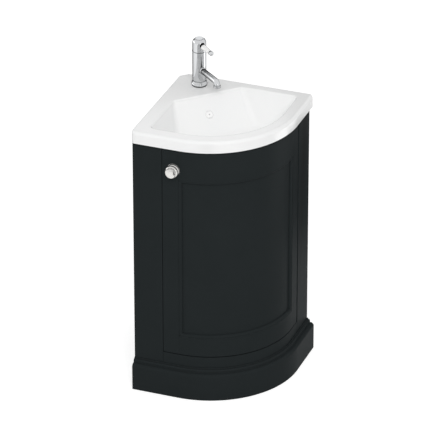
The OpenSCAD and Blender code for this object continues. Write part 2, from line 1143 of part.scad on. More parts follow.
module tap_head() {
  color(chrome)
    to_frame()
      at_tap()
        difference() {
          translate([0, 0, head_z])
            rotate_extrude($fn = 96)
              head_profile();
          translate([0, 0, head_z - 1])
            cylinder(r = head_bore, h = head_floor_z - head_z + 2);
          translate([0, 0, head_floor_z])
            cylinder(r = 5, h = 10);
          translate([0, 0, head_void_z])
            cylinder(r = 15.5, h = cap_z - 7 - head_void_z, $fn = 72);
          aimed()
            translate([0, 0, slot_z])
              rotate([0, 90, 0])
                cylinder(r = slot_r, h = 30, $fn = 48);
          aimed()
            translate([0, 0, lever_z])
              rotate([90, 0, 0])
                cylinder(r = lever_pin_r + 0.02, h = 2 * head_r - 3, center = true, $fn = 32);
          translate([0, 0, cap_z - 10])
            cylinder(r = 3, h = 20, $fn = 32);
        }
}

// flat cap with a peg that plugs into the head
module head_cap() {
  color(chrome)
    to_frame()
      at_tap(cap_z)
        union() {
          rotate_extrude($fn = 96)
            difference() {
              square([cap_r, cap_t]);
              translate([cap_r, cap_t])
                edge_bite(1.4);
            }
          translate([0, 0, -6])
            cylinder(r = 3 - screw_play, h = 6 + e, $fn = 32);
        }
}

module spindle() {
  color(steel)
    to_frame()
      at_tap(102)
        cylinder(r = 5, h = lever_z - hub_r - 0.4 - 102);
}

module lever_pin() {
  color(steel)
    to_frame()
      at_tap(lever_z)
        aimed()
          rotate([90, 0, 0])
            cylinder(r = lever_pin_r, h = 2 * head_r - 4, center = true, $fn = 32);
}

// hub on the pin, arm through the head's opening and the chrome ferrule outside it
module lever_hub() {
  color(chrome)
    to_frame()
      at_tap(lever_z)
        aimed()
          difference() {
            union() {
              rotate([90, 0, 0])
                cylinder(r = hub_r, h = 16, center = true, $fn = 48);
              rotate([0, 90, 0])
                cylinder(r = arm_r, h = ferrule_at + 1, $fn = 48);
              translate([ferrule_at, 0, 0])
                rotate([0, 90, 0])
                  rotate_extrude($fn = 48)
                    difference() {
                      square([7.6, ferrule_l]);
                      translate([7.6, 0])
                        mirror([0, 1])
                          edge_bite(1);
                    }
              rotate([0, 90, 0])
                cylinder(r = 2.5, h = lever_end - 8, $fn = 32);
            }
            rotate([90, 0, 0])
              cylinder(r = lever_pin_r + 0.05, h = 20, center = true, $fn = 32);
          }
}

// porcelain sleeve over the lever's rod, fullest near the tap and slimmer outwards
module porcelain_lever() {
  root = ferrule_at + ferrule_l;
  sleeve_l = lever_end - 15 - root;
  swell = 209;
  color(white)
    to_frame()
      at_tap(lever_z)
        aimed()
          translate([root, 0, 0])
            rotate([0, 90, 0])
              difference() {
                rotate_extrude($fn = 64)
                  difference() {
                    intersection() {
                      translate([8.8 - swell, 4])
                        circle(r = swell, $fn = 360);
                      square([9.5, sleeve_l]);
                    }
                    translate([8.76, 0])
                      mirror([0, 1])
                        edge_bite(1.2);
                  }
                translate([0, 0, -1])
                  cylinder(r = 2.5 + screw_play, h = sleeve_l + 2, $fn = 32);
              }
}

// chrome end: collar ring and ball
module lever_finial() {
  ball_r = 6.9;
  color(chrome)
    to_frame()
      at_tap(lever_z)
        aimed()
          difference() {
            union() {
              translate([lever_end - ball_r, 0, 0])
                sphere(r = ball_r);
              translate([lever_end - 15, 0, 0])
                rotate([0, 90, 0])
                  rotate_extrude($fn = 48)
                    union() {
                      square([6.2, 1.6]);
                      translate([6.2, 0.8])
                        circle(r = 0.8, $fn = 24);
                      square([4, 5]);
                    }
            }
            translate([lever_end - 20, 0, 0])
              rotate([0, 90, 0])
                cylinder(r = 2.5 + screw_play, h = 12.2, $fn = 32);
          }
}

// ---------- door ----------

// flat left stile with the rebate for the panel and a softened closing edge
module door_left_stile() {
  color(paint)
    to_frame()
      difference() {
        translate([door_edge, door_back, door_z0])
          linear_extrude(door_z1 - door_z0)
            union() {
              square([stile_in - door_edge, door_t - 1.2]);
              translate([1.2, 0])
                square([stile_in - door_edge - 1.2, door_t]);
              translate([1.2, door_t - 1.2])
                circle(r = 1.2, $fn = 32);
            }
        translate([stile_in - rebate, door_back - 1, open_z0 - rebate])
          cube([rebate + 1, panel_face - door_back + 1, open_z1 - open_z0 + 2 * rebate]);
        translate([knob_u, door_back - 1, knob_z])
          rotate([-90, 0, 0])
            cylinder(r = 2 + screw_play, h = door_t + 2, $fn = 32);
      }
}

// right stile, its hinge edge rounded about the pivot
module door_right_stile() {
  color(paint)
    to_frame()
      difference() {
        translate([0, 0, door_z0])
          linear_extrude(door_z1 - door_z0)
            union() {
              translate([door_back, pivot_v])
                square([door_t, stile_in - pivot_v]);
              translate([pivot_u, pivot_v])
                circle(r = door_t / 2);
            }
        translate([door_back - 1, stile_in - rebate, open_z0 - rebate])
          cube([panel_face - door_back + 1, rebate + 1, open_z1 - open_z0 + 2 * rebate]);
        translate([pivot_u, pivot_v, door_z0 - 1])
          cylinder(r = bush_r + 0.02, h = bush_l + 1.5);
        translate([pivot_u, pivot_v, door_z1 - bush_l - 0.5])
          cylinder(r = bush_r + 0.02, h = bush_l + 1.5);
      }
}

module door_top_rail() {
  color(paint)
    to_frame()
      union() {
        translate([0, 0, open_z1])
          linear_extrude(door_z1 - open_z1)
            front_band(panel_face, face_l, stile_in);
        translate([0, 0, open_z1 + rebate])
          linear_extrude(door_z1 - open_z1 - rebate)
            front_band(door_back, panel_face, stile_in);
      }
}

module door_bottom_rail() {
  color(paint)
    to_frame()
      union() {
        translate([0, 0, door_z0])
          linear_extrude(open_z0 - door_z0)
            front_band(panel_face, face_l, stile_in);
        translate([0, 0, door_z0])
          linear_extrude(open_z0 - door_z0 - rebate)
            front_band(door_back, panel_face, stile_in);
      }
}

module door_panel() {
  color(paint)
    to_frame()
      translate([0, 0, open_z0 - rebate])
        linear_extrude(open_z1 - open_z0 + 2 * rebate)
          front_band(door_back, panel_face, stile_in - rebate);
}

// bead section: short flat, then a quarter round down to the panel
module bead_profile() {
  square([bead_w - bead_h, bead_h]);
  translate([bead_w - bead_h, 0])
    intersection() {
      circle(r = bead_h);
      square([bead_h, bead_h]);
    }
}

// bead all round the panel: two uprights and two curved lengths, mitred
module panel_bead() {
  color(paint)
    to_frame()
      union() {
        translate([stile_in, panel_face, open_z0])
          linear_extrude(open_z1 - open_z0)
            bead_profile();
        translate([panel_face, stile_in, open_z0])
          linear_extrude(open_z1 - open_z0)
            mirror([1, -1])
              bead_profile();
        translate([0, 0, open_z0])
          sweep_front(panel_face, stile_in)
            mirror([1, -1])
              bead_profile();
        translate([0, 0, open_z1])
          sweep_front(panel_face, stile_in)
            rotate(-90)
              bead_profile();
      }
}

module bush(l, flange) {
  difference() {
    union() {
      cylinder(r = bush_r, h = l, $fn = 48);
      translate([0, 0, -flange])
        cylinder(r = bush_r + 1.5, h = flange + e, $fn = 48);
    }
    translate([0, 0, -2])
      cylinder(r = pin_hole_r, h = l + 1, $fn = 48);
  }
}

module top_bush() {
  color(brass)
    to_frame()
      translate([pivot_u, pivot_v, door_z1])
        mirror([0, 0, 1])
          bush(bush_l, 0.6);
}

module bottom_bush() {
  color(brass)
    to_frame()
      translate([pivot_u, pivot_v, door_z0])
        bush(bush_l, 0.9);
}

// two thin pads between the door and the top rail
module door_bumpers() {
  gap = door_back - carcass_l - 0.4;
  color(black_rubber)
    to_frame()
      for (a = [35, 65])
        intersection() {
          translate([bend_at, bend_at, carcass_h - 22])
            rotate([0, 0, a])
              rotate([0, 90, 0])
                cylinder(r = 5, h = carcass_l, $fn = 32);
          linear_extrude(carcass_h)
            front_band(door_back - gap, door_back, 60);
        }
}

// ---------- knob, catch and pivots ----------

module at_knob() {
  translate([knob_u, face_l, knob_z])
    rotate([-90, 0, 0])
      children();
}

// turned knob: neck, flare, barrel, rim bead and low dome
module knob() {
  k = knob_d / 2;
  color(chrome)
    to_frame()
      at_knob()
        difference() {
          rotate_extrude($fn = 96)
            union() {
              translate([0, 2])
                square([9, 8]);
              intersection() {
                translate([k - 6.5, 12])
                  circle(r = 6);
                square([k, 12]);
              }
              translate([0, 6])
                square([k - 6.5, 6]);
              translate([0, 12])
                square([k - 0.5, knob_l - 16]);
              translate([k - 2, knob_l - 5])
                circle(r = 2, $fn = 32);
              translate([0, 12])
                square([k - 2, knob_l - 15]);
              intersection() {
                translate([0, knob_l - 95])
                  circle(r = 95, $fn = 360);
                translate([0, 14])
                  square([k - 2, knob_l - 14]);
              }
            }
          translate([0, 0, -1])
            cylinder(r = 2, h = 13, $fn = 32);
        }
}

module knob_rose() {
  color(chrome)
    to_frame()
      at_knob()
        difference() {
          rotate_extrude($fn = 72)
            difference() {
              square([13, 2]);
              translate([13, 2])
                edge_bite(1.2);
            }
          translate([0, 0, -1])
            cylinder(r = 2.2, h = 4, $fn = 32);
        }
}

module knob_screw() {
  color(steel)
    to_frame()
      translate([knob_u, door_back, knob_z])
        rotate([-90, 0, 0])
          difference() {
            union() {
              cylinder(r = 2, h = door_t + 11, $fn = 32);
              intersection() {
                sphere(r = 4);
                translate([-5, -5, -1.5])
                  cube([10, 10, 1.5]);
              }
            }
            translate([-2.5, -0.4, -3])
              cube([5, 0.8, 2.1]);
          }
}

// steel strip on the door for the magnet
module strike_plate() {
  color(steel)
    to_frame()
      translate([door_edge + 3, door_back - 1.2, catch_mid - 14])
        difference() {
          cube([22, 1.2, 28]);
          translate([11, -1, 14])
            rotate([-90, 0, 0])
              cylinder(r = 1.6, h = 4, $fn = 24);
        }
}

catch_u0 = door_edge - 29.5;
catch_z0 = catch_mid - 16;

module catch_screw_set(grow = 0) {
  for (z = [catch_z0 + 6, catch_z0 + 26])
    translate([catch_u0 + 8, carcass_l - 12, z])
      rotate([-90, 0, 0])
        translate([0, 0, -1])
          csk_screw(26, grow);
}

// catch body behind the left stile, reaching across behind the door's edge
module catch_body() {
  color(grey_plastic)
    to_frame()
      difference() {
        translate([catch_u0, carcass_l - 12, catch_z0])
          cube([54, 12, 32]);
        translate([catch_u0 + 33, carcass_l - 6, catch_z0 + 4])
          cube([16, 8, 24]);
        catch_screw_set(screw_play);
      }
}

module catch_magnet() {
  color(steel)
    to_frame()
      translate([catch_u0 + 33, carcass_l - 6, catch_z0 + 4])
        cube([16, 6.3, 24]);
}

module catch_screws() {
  color(steel)
    to_frame()
      catch_screw_set();
}

// top pivot plate let into the right stile and reaching over the door
module plate_solid(grow = 0) {
  translate([pivot_u - 8 - grow, 40 - grow, carcass_h - 2])
    linear_extrude(2 + grow)
      union() {
        square([16 + 2 * grow, pivot_v - 40 + grow]);
        translate([8 + grow, pivot_v - 40 + grow])
          circle(r = 8 + grow);
      }
}

module plate_screw_set(grow = 0) {
  for (y = [50, 76])
    translate([pivot_u, y, carcass_h])
      rotate([180, 0, 0])
        csk_screw(24, grow);
}

module top_pivot_plate() {
  color(steel)
    to_frame()
      difference() {
        plate_solid();
        plate_screw_set(screw_play);
        translate([pivot_u, pivot_v, carcass_h - 5])
          cylinder(r = pin_r + 0.02, h = 10, $fn = 48);
      }
}

module top_pivot_pin() {
  color(steel)
    to_frame()
      translate([pivot_u, pivot_v, carcass_h - 16])
        cylinder(r = pin_r, h = 16, $fn = 48);
}

module bottom_pin_solid(grow = 0) {
  translate([pivot_u, pivot_v, rail_top - 16])
    cylinder(r = pin_r + grow, h = 16, $fn = 48);
}

// bottom pin with the collar that carries the door
module bottom_pivot_pin() {
  color(steel)
    to_frame()
      union() {
        bottom_pin_solid();
        translate([pivot_u, pivot_v, rail_top])
          cylinder(r = 6, h = door_foot_gap - 0.9 - 0.05, $fn = 48);
        translate([pivot_u, pivot_v, rail_top])
          cylinder(r = pin_r, h = 16, $fn = 48);
      }
}

module pivot_plate_screws() {
  color(steel)
    to_frame()
      plate_screw_set();
}

// ---------- pieces ----------

left_panel();
back_panel();
corner_post();
floor_panel();
left_face_stile();
right_face_stile();
bottom_rail();
top_rail();
plinth();
carcass_screws();
basin();
overflow_ring();
waste_body();
waste_guide();
waste_gasket();
waste_nut();
plug_cap();
plug_seal();
plug_stem();
tap_gasket();
tap_base();
tap_column();
seam_ring();
cartridge();
spout();
aerator_ring();
aerator_screen();
tap_stud();
clamp_gasket();
clamp_plate();
stud_nut();
tap_head();
head_cap();
spindle();
lever_pin();
lever_hub();
porcelain_lever();
lever_finial();
door_left_stile();
door_right_stile();
door_top_rail();
door_bottom_rail();
door_panel();
panel_bead();
top_bush();
bottom_bush();
door_bumpers();
knob();
knob_rose();
knob_screw();
strike_plate();
top_pivot_plate();
top_pivot_pin();
bottom_pivot_pin();
pivot_plate_screws();
catch_body();
catch_magnet();
catch_screws();
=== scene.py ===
"""Corner vanity unit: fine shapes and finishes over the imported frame.

New pieces are drawn in the room corner's frame, in millimetres: u runs along the back
wall, v along the left wall towards the room, and z is up from the floor. Workpiece.settle
turns them into the row's frame, in metres, and hangs them on the body that they move with.
"""

import logging
import math
from dataclasses import dataclass, field
from enum import Enum
from typing import Iterable, Sequence

import bmesh
import bpy
from mathutils import Matrix, Vector


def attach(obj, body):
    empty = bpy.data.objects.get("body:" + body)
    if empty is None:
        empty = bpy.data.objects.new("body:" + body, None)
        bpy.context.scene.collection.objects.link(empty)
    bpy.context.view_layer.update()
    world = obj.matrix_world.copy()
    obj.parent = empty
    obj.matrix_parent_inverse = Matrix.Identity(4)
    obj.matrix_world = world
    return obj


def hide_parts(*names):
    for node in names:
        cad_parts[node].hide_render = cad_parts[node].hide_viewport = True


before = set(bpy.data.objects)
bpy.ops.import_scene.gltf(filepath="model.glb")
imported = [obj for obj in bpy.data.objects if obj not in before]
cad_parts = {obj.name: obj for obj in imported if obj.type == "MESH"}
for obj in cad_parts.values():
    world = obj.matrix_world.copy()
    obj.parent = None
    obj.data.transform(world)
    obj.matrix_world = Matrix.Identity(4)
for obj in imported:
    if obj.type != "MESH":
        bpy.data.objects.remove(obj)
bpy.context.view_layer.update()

log = logging.getLogger("corner_vanity")

Socket = bpy.types.NodeSocket
Vert = bmesh.types.BMVert
Triple = tuple[float, float, float]
Outline = list[tuple[float, float]]
Ring = list[Triple]
Edge = list[tuple[Vector, Vector, float]]

TO_ROW = Matrix.Translation((-0.215, 0.219, 0.0)) @ Matrix.Diagonal((0.001, -0.001, 0.001, 1.0))
QUARTER = math.pi / 2

# Sizes that several sub-assemblies share, in millimetres.
RIM = 870.0  # height of the basin's deck
BEND = 147.0  # from each wall to where the straight sides end and the front bends
FACE = 408.0  # from each wall to the cabinet's face
BOWL_FLOOR = 758.0  # height of the bowl's floor
WASTE_AXIS = 223.81  # from each wall to the waste's axis
TAP_AXIS = (78.3, 59.6)  # where the tap's axis stands in plan
PAST = 1.0  # how far a cutter runs past the face that it cuts


# ---------------------------------------------------------------- outlines


def arc(cx: float, cy: float, r: float, start: float, end: float, steps: int,
        high: float | None = None) -> Outline:
    """Points along an arc of a circle or an ellipse.

    Args:
        cx, cy: centre of the arc.
        r: its radius, or an ellipse's reach along the first axis.
        start, end: first and last angle in degrees.
        steps: number of chords.
        high: an ellipse's reach along the second axis.

    Returns:
        The points, ends included.
    """
    high = r if high is None else high
    turns = [math.radians(start + (end - start) * i / steps) for i in range(steps + 1)]
    return [(cx + r * math.cos(a), cy + high * math.sin(a)) for a in turns]


def all_round(cx: float, cy: float, r: float, count: int) -> Outline:
    """Points all round a circle, the first not repeated."""
    return arc(cx, cy, r, 0, 360 - 360 / count, count - 1)


def dome(top: float, radius: float, reaches: Iterable[float]) -> Outline:
    """Points on a dome that peaks on the axis at top, one for each distance from the axis."""
    return [(r, top - radius + math.sqrt(radius ** 2 - r ** 2)) for r in reaches]


def mirrored(plan: Outline) -> Outline:
    """The same plan on the other side of the unit's diagonal."""
    return [(v, u) for u, v in plan]


def eased(share: float) -> float:
    """A share from 0 to 1 that starts and stops gently."""
    f = min(max(share, 0.0), 1.0)
    return f * f * (3 - 2 * f)


def softened(points: Outline, radius: float, closed: bool = True) -> Outline:
    """Rounds the corners of an outline, as a sanded or polished edge is.

    Args:
        points: corners of the outline.
        radius: size of the rounding.
        closed: whether the last point joins the first.

    Returns:
        The outline with each turn of more than 25 degrees rounded.
    """
    least_turn, most_of_side, chords = math.radians(25), 0.45, 3
    made: Outline = []
    count = len(points)
    for i, here in enumerate(points):
        p = Vector(here)
        if not closed and i in (0, count - 1):
            made.append(here)
            continue
        back, ahead = Vector(points[i - 1]) - p, Vector(points[(i + 1) % count]) - p
        turn = math.pi - back.angle(ahead) if back.length and ahead.length else 0.0
        if turn < least_turn:
            made.append(here)
            continue
        cut = min(radius * math.tan(turn / 2), most_of_side * back.length, most_of_side * ahead.length)
        a, b = p + back.normalized() * cut, p + ahead.normalized() * cut
        for k in range(chords + 1):
            t = k / chords
            q = a * (1 - t) ** 2 + p * 2 * t * (1 - t) + b * t ** 2
            made.append((q.x, q.y))
    return made


# ---------------------------------------------------------------- shader nodes


class Wiring:
    """Short calls for adding and joining shader nodes in one tree."""

    def __init__(self, tree: bpy.types.NodeTree) -> None:
        """Keeps the tree that nodes go into."""
        self.tree = tree

    def add(self, kind: str, **values: object) -> bpy.types.Node:
        """Adds a node.

        Args:
            kind: its type without the ShaderNode prefix.
            values: properties by name; a key that starts with in_ sets that input socket.

        Returns:
            The node.
        """
        node = self.tree.nodes.new("ShaderNode" + kind)
        for key, value in values.items():
            if key.startswith("in_"):
                node.inputs[key[3:].replace("_", " ")].default_value = value
            else:
                setattr(node, key, value)
        return node

    def join(self, source: Socket | float, target: Socket) -> None:
        """Gives a socket its value: a link, or a plain number.

        Args:
            source: the socket to link from, or the number.
            target: the input that gets it.
        """
        if isinstance(source, (int, float)):
            target.default_value = source
        else:
            self.tree.links.new(source, target)

    def noise(self, scale: Socket | float, detail: float = 3.0, roughness: float = 0.5,
              distortion: float = 0.0, stretch: Triple | None = None,
              turn: Triple = (0.0, 0.0, 0.0)) -> Socket:
        """Noise on object coordinates.

        Args:
            scale: cells per metre.
            detail: octaves.
            roughness: share that each finer octave keeps.
            distortion: how far the noise is warped.
            stretch: factor on each axis before the noise, if any.
            turn: rotation before the noise, in radians, where it is stretched.

        Returns:
            The noise value's socket.
        """
        place = self.add("TexCoord").outputs["Object"]
        if stretch:
            mapping = self.add("Mapping", in_Scale=stretch, in_Rotation=turn)
            self.join(place, mapping.inputs["Vector"])
            place = mapping.outputs["Vector"]
        noise = self.add("TexNoise", in_Detail=detail, in_Roughness=roughness, in_Distortion=distortion)
        self.join(place, noise.inputs["Vector"])
        self.join(scale, noise.inputs["Scale"])
        return noise.outputs["Fac"]

    def range(self, value: Socket, low: float, high: float, to_low: Socket | float,
              to_high: Socket | float) -> Socket:
        """Maps a value from one range to another, clamped.

        Args:
            value: the value's socket.
            low, high: the range that it comes from.
            to_low, to_high: the range that it goes to.

        Returns:
            The result's socket.
        """
        node = self.add("MapRange", in_From_Min=low, in_From_Max=high)
        self.join(value, node.inputs["Value"])
        self.join(to_low, node.inputs["To Min"])
        self.join(to_high, node.inputs["To Max"])
        return node.outputs["Result"]

    def math(self, operation: str, a: Socket, b: Socket) -> Socket:
        """Joins two values by one operation of the Math node.

        Args:
            operation: the operation's name.
            a, b: the values' sockets.

        Returns:
            The result's socket.
        """
        node = self.add("Math", operation=operation)
        self.join(a, node.inputs[0])
        self.join(b, node.inputs[1])
        return node.outputs["Value"]

    def blend(self, mask: Socket, under: Socket | Triple, over: Triple) -> Socket:
        """Lays a plain colour over another by a mask.

        Args:
            mask: where the colour lies on top.
            under: the colour below, linked or plain.
            over: the colour on top.

        Returns:
            The mixed colour's socket.
        """
        factor, colour_a, colour_b, result = 0, 6, 7, 2
        node = self.add("Mix", data_type="RGBA")
        self.join(mask, node.inputs[factor])
        if isinstance(under, tuple):
            node.inputs[colour_a].default_value = (*under, 1.0)
        else:
            self.join(under, node.inputs[colour_a])
        node.inputs[colour_b].default_value = (*over, 1.0)
        return node.outputs[result]

    def effect(self, group: bpy.types.NodeTree, **inputs: float) -> Socket:
        """Places a shared group with its own values.

        Args:
            group: the group.
            inputs: its values by name.

        Returns:
            Its output's socket.
        """
        node = self.add("Group", node_tree=group)
        for key, value in inputs.items():
            node.inputs[key].default_value = value
        return node.outputs[0]

    def when_seen(self, rest: Socket, seen: Socket) -> Socket:
        """Picks a shader by the kind of ray that meets it.

        Args:
            rest: the shader for rays that only carry light.
            seen: the shader for rays of the camera, of reflections and of clear glass.

        Returns:
            The picked shader's socket.
        """
        rays, pick = self.add("LightPath").outputs, self.add("MixShader")
        shown = self.math("MAXIMUM", rays["Is Camera Ray"], rays["Is Glossy Ray"])
        self.join(self.math("MAXIMUM", shown, rays["Is Transmission Ray"]), pick.inputs[0])
        self.join(rest, pick.inputs[1])
        self.join(seen, pick.inputs[2])
        return pick.outputs[0]


class Effect(Wiring):
    """A shader node group in the making, with float inputs and one float output."""

    def __init__(self, name: str, output: str, **inputs: float) -> None:
        """Starts the group.

        Args:
            name: the group's name.
            output: its output's name.
            inputs: default value of each input, by name.
        """
        super().__init__(bpy.data.node_groups.new(name, "ShaderNodeTree"))
        sockets = self.tree.interface
        for key, value in inputs.items():
            sockets.new_socket(key, in_out="INPUT", socket_type="NodeSocketFloat").default_value = value
        sockets.new_socket(output, in_out="OUTPUT", socket_type="NodeSocketFloat")
        self.given = self.tree.nodes.new("NodeGroupInput")
        self.result = self.tree.nodes.new("NodeGroupOutput")

    def put_out(self, value: Socket) -> bpy.types.NodeTree:
        """Joins a value to the group's output, and returns the finished group."""
        self.join(value, self.result.inputs[0])
        return self.tree


class SharedEffects:
    """The node groups that several finishes use, each built once."""

    def __init__(self) -> None:
        """Builds the groups: rubbed edges, painted shade that darkens grooves and hollow corners, drift and
        wipe marks.
        """
        self.arris = self._patchy("rubbed_arris", "arris", 90.0, 4.0, (0.42, 0.62), 0.0)
        # Painted shade: this mask darkens hollow corners and grooves, where shadow falls.
        self.recess_shade = self._patchy("painted_recess_shade", "recess", 120.0, 3.0, (0.3, 0.6), 0.7)
        self.mottle = self._mottle()
        self.handling = self._handling()

    def _patchy(self, name: str, attribute: str, scale: float, detail: float,
                patch: tuple[float, float], least: float) -> bpy.types.NodeTree:
        """Mask from one of the piece's own attributes, broken up by noise.

        Args:
            name: the group's name.
            attribute: the attribute's name.
            scale, detail: cells per metre and octaves of the noise.
            patch: noise values between which the mask rises.
            least: share of the attribute that is always left.

        Returns:
            The group.
        """
        w = Effect(name, "Mask", Scale=scale, Strength=0.5)
        source = w.add("Attribute", attribute_name=attribute)
        patches = w.range(w.noise(w.given.outputs["Scale"], detail), *patch, least, 1.0)
        mask = w.math("MULTIPLY", source.outputs["Fac"], patches)
        return w.put_out(w.math("MULTIPLY", mask, w.given.outputs["Strength"]))

    def _mottle(self) -> bpy.types.NodeTree:
        """Slow variation across a surface, between Low and High."""
        w = Effect("slow_mottle", "Value", Scale=6.0, Low=0.0, High=1.0)
        given = w.given.outputs
        return w.put_out(w.range(w.noise(given["Scale"], 5.0, 0.6), 0.3, 0.7, given["Low"], given["High"]))

    def _handling(self) -> bpy.types.NodeTree:
        """Faint smears and water marks, as a wiped surface keeps them.

        Returns:
            The group.
        """
        w = Effect("wipe_marks", "Mask", Scale=14.0, Amount=1.0)
        smear = w.noise(w.given.outputs["Scale"], 6.0, 0.65, 0.6, (1.0, 1.0, 3.2), (0.3, 0.5, 0.2))
        mask = w.range(smear, 0.52, 0.74, 0.0, 1.0)
        return w.put_out(w.math("MULTIPLY", mask, w.given.outputs["Amount"]))


# ---------------------------------------------------------------- finishes


class Relief(Enum):
    """Kinds of fine surface height, each with its scale, stretch and depth in metres."""

    SPRAYED = (420.0, (1.0, 1.0, 1.0), 0.00006)
    GLAZED = (9.0, (1.0, 1.0, 1.0), 0.0003)
    POLISHED = (60.0, (1.0, 1.0, 1.0), 0.00001)
    TURNED = (160.0, (1.0, 1.0, 14.0), 0.00004)
    MOULDED = (900.0, (1.0, 1.0, 1.0), 0.00005)
    SAWN = (40.0, (1.0, 1.0, 0.12), 0.00012)


@dataclass(frozen=True)
class Finish:
    """One surface finish.

    Attributes:
        name: the material's name.
        colour: linear base colour.
        tint: linear colour that the base drifts towards.
        drift: how far it drifts, from 0 to 1.
        rough: lowest and highest roughness.
        metal: metallic share.
        specular: specular level.
        coat: weight and roughness of a clear coat.
        rub: colour of rubbed edges, and how strongly they show.
        marks: amount of wipe marks.
        relief: kind of fine height.
        mottle_scale: how fine the drift of colour is.
        edge: how much of a metal's shine is left at a glancing angle.
        groove_shade: strength of the painted shade that darkens its grooves and hollow corners.
    """

    name: str
    colour: Triple
    tint: Triple
    drift: float
    rough: tuple[float, float]
    metal: float = 0.0
    specular: float = 0.5
    coat: tuple[float, float] = (0.0, 0.03)
    rub: tuple[Triple, float] = ((0.1, 0.1, 0.1), 0.0)
    marks: float = 0.5
    relief: Relief = Relief.MOULDED
    mottle_scale: float = 6.0
    edge: float = 1.0
    groove_shade: float = 0.0

    def build(self, effects: SharedEffects) -> bpy.types.Material:
        """Builds the material.

        Args:
            effects: the shared node groups.

        Returns:
            The material, with colour, roughness and bump that vary over the surface.
        """
        shade_colour, bump_strength = (0.015, 0.015, 0.015), 0.6
        material = bpy.data.materials.new(self.name)
        material.use_nodes = True
        shader = material.node_tree.nodes["Principled BSDF"].inputs
        shader["Metallic"].default_value = self.metal
        shader["Specular IOR Level"].default_value = self.specular
        shader["Specular Tint"].default_value = (self.edge, self.edge, self.edge, 1.0)
        shader["Coat Weight"].default_value, shader["Coat Roughness"].default_value = self.coat
        w = Wiring(material.node_tree)
        drift = w.effect(effects.mottle, Scale=self.mottle_scale, High=self.drift)
        colour = w.blend(drift, self.colour, self.tint)
        colour = w.blend(w.effect(effects.arris, Strength=self.rub[1]), colour, self.rub[0])
        # Painted shade: near-black laid into hollow corners and grooves through the recess mask.
        colour = w.blend(w.effect(effects.recess_shade, Strength=self.groove_shade), colour, shade_colour)
        w.join(colour, shader["Base Color"])
        smears = w.effect(effects.handling, Amount=self.marks)
        w.join(w.range(smears, 0.0, 1.0, *self.rough), shader["Roughness"])
        scale, stretch, depth = self.relief.value
        bump = w.add("Bump", in_Distance=depth, in_Strength=bump_strength)
        w.join(w.noise(scale, stretch=stretch), bump.inputs["Height"])
        w.join(bump.outputs["Normal"], shader["Normal"])
        return material


PAINT = Finish("charcoal_satin_paint", (0.0192, 0.0233, 0.0243), (0.0212, 0.0256, 0.0267), 0.8,
               (0.42, 0.5), specular=0.012, rub=((0.035, 0.04, 0.042), 0.5),
               relief=Relief.SPRAYED, groove_shade=0.75)
BOARD = Finish("charcoal_faced_board", (0.03, 0.034, 0.036), (0.038, 0.042, 0.044), 0.9,
               (0.5, 0.62), specular=0.3, rub=((0.09, 0.08, 0.07), 0.6), marks=0.4,
               relief=Relief.SAWN)
GLAZE = Finish("white_basin_glaze", (0.93, 0.935, 0.935), (0.95, 0.95, 0.945), 0.7,
               (0.2, 0.28), specular=0.4, coat=(0.3, 0.12), rub=((0.88, 0.88, 0.87), 0.2),
               marks=0.6, relief=Relief.GLAZED)
PORCELAIN = Finish("white_lever_porcelain", (0.95, 0.95, 0.945), (0.93, 0.93, 0.92), 0.4,
                   (0.07, 0.13), coat=(0.8, 0.03), marks=0.4, relief=Relief.GLAZED,
                   mottle_scale=40.0)
CHROME = Finish("polished_chrome", (0.66, 0.67, 0.68), (0.6, 0.61, 0.625), 0.7,
                (0.035, 0.09), metal=1.0, rub=((0.8, 0.8, 0.79), 0.3),
                relief=Relief.POLISHED, mottle_scale=30.0, edge=0.0, groove_shade=0.95)
NICKEL = Finish("soft_bright_plate", (0.7, 0.69, 0.67), (0.6, 0.59, 0.575), 0.8,
                (0.2, 0.3), metal=1.0, rub=((0.8, 0.8, 0.78), 0.3), marks=0.7,
                relief=Relief.POLISHED, mottle_scale=40.0, groove_shade=0.5)
TRIM = Finish("bright_overflow_trim", (0.96, 0.96, 0.955), (0.92, 0.92, 0.92), 0.6,
              (0.05, 0.12), metal=1.0, relief=Relief.POLISHED, mottle_scale=40.0,
              edge=0.2, groove_shade=0.9)
# Painted shade: near-black metal on the seam's ring, standing in for the shadow in the groove between column
# and head.
SEAM_SHADE = Finish("seam_ring_painted_shade", (0.06, 0.06, 0.063), (0.09, 0.09, 0.093), 0.8,
                (0.16, 0.3), metal=1.0, marks=0.6, relief=Relief.TURNED, mottle_scale=60.0)
BRASS = Finish("turned_brass", (0.56, 0.4, 0.17), (0.42, 0.29, 0.13), 0.9,
               (0.2, 0.4), metal=1.0, rub=((0.75, 0.6, 0.33), 0.7), marks=0.8,
               relief=Relief.TURNED, mottle_scale=50.0)
STEEL = Finish("zinc_plated_steel", (0.42, 0.43, 0.44), (0.34, 0.345, 0.35), 0.9,
               (0.26, 0.42), metal=1.0, rub=((0.6, 0.6, 0.6), 0.6), marks=0.8,
               relief=Relief.TURNED, mottle_scale=60.0)
RUBBER = Finish("black_rubber", (0.02, 0.02, 0.02), (0.035, 0.034, 0.033), 0.7,
                (0.6, 0.75), specular=0.3, marks=0.7, mottle_scale=40.0)
PLASTIC = Finish("grey_moulded_plastic", (0.24, 0.245, 0.25), (0.2, 0.205, 0.21), 0.6,
                 (0.38, 0.5), specular=0.4, marks=0.6, mottle_scale=30.0)


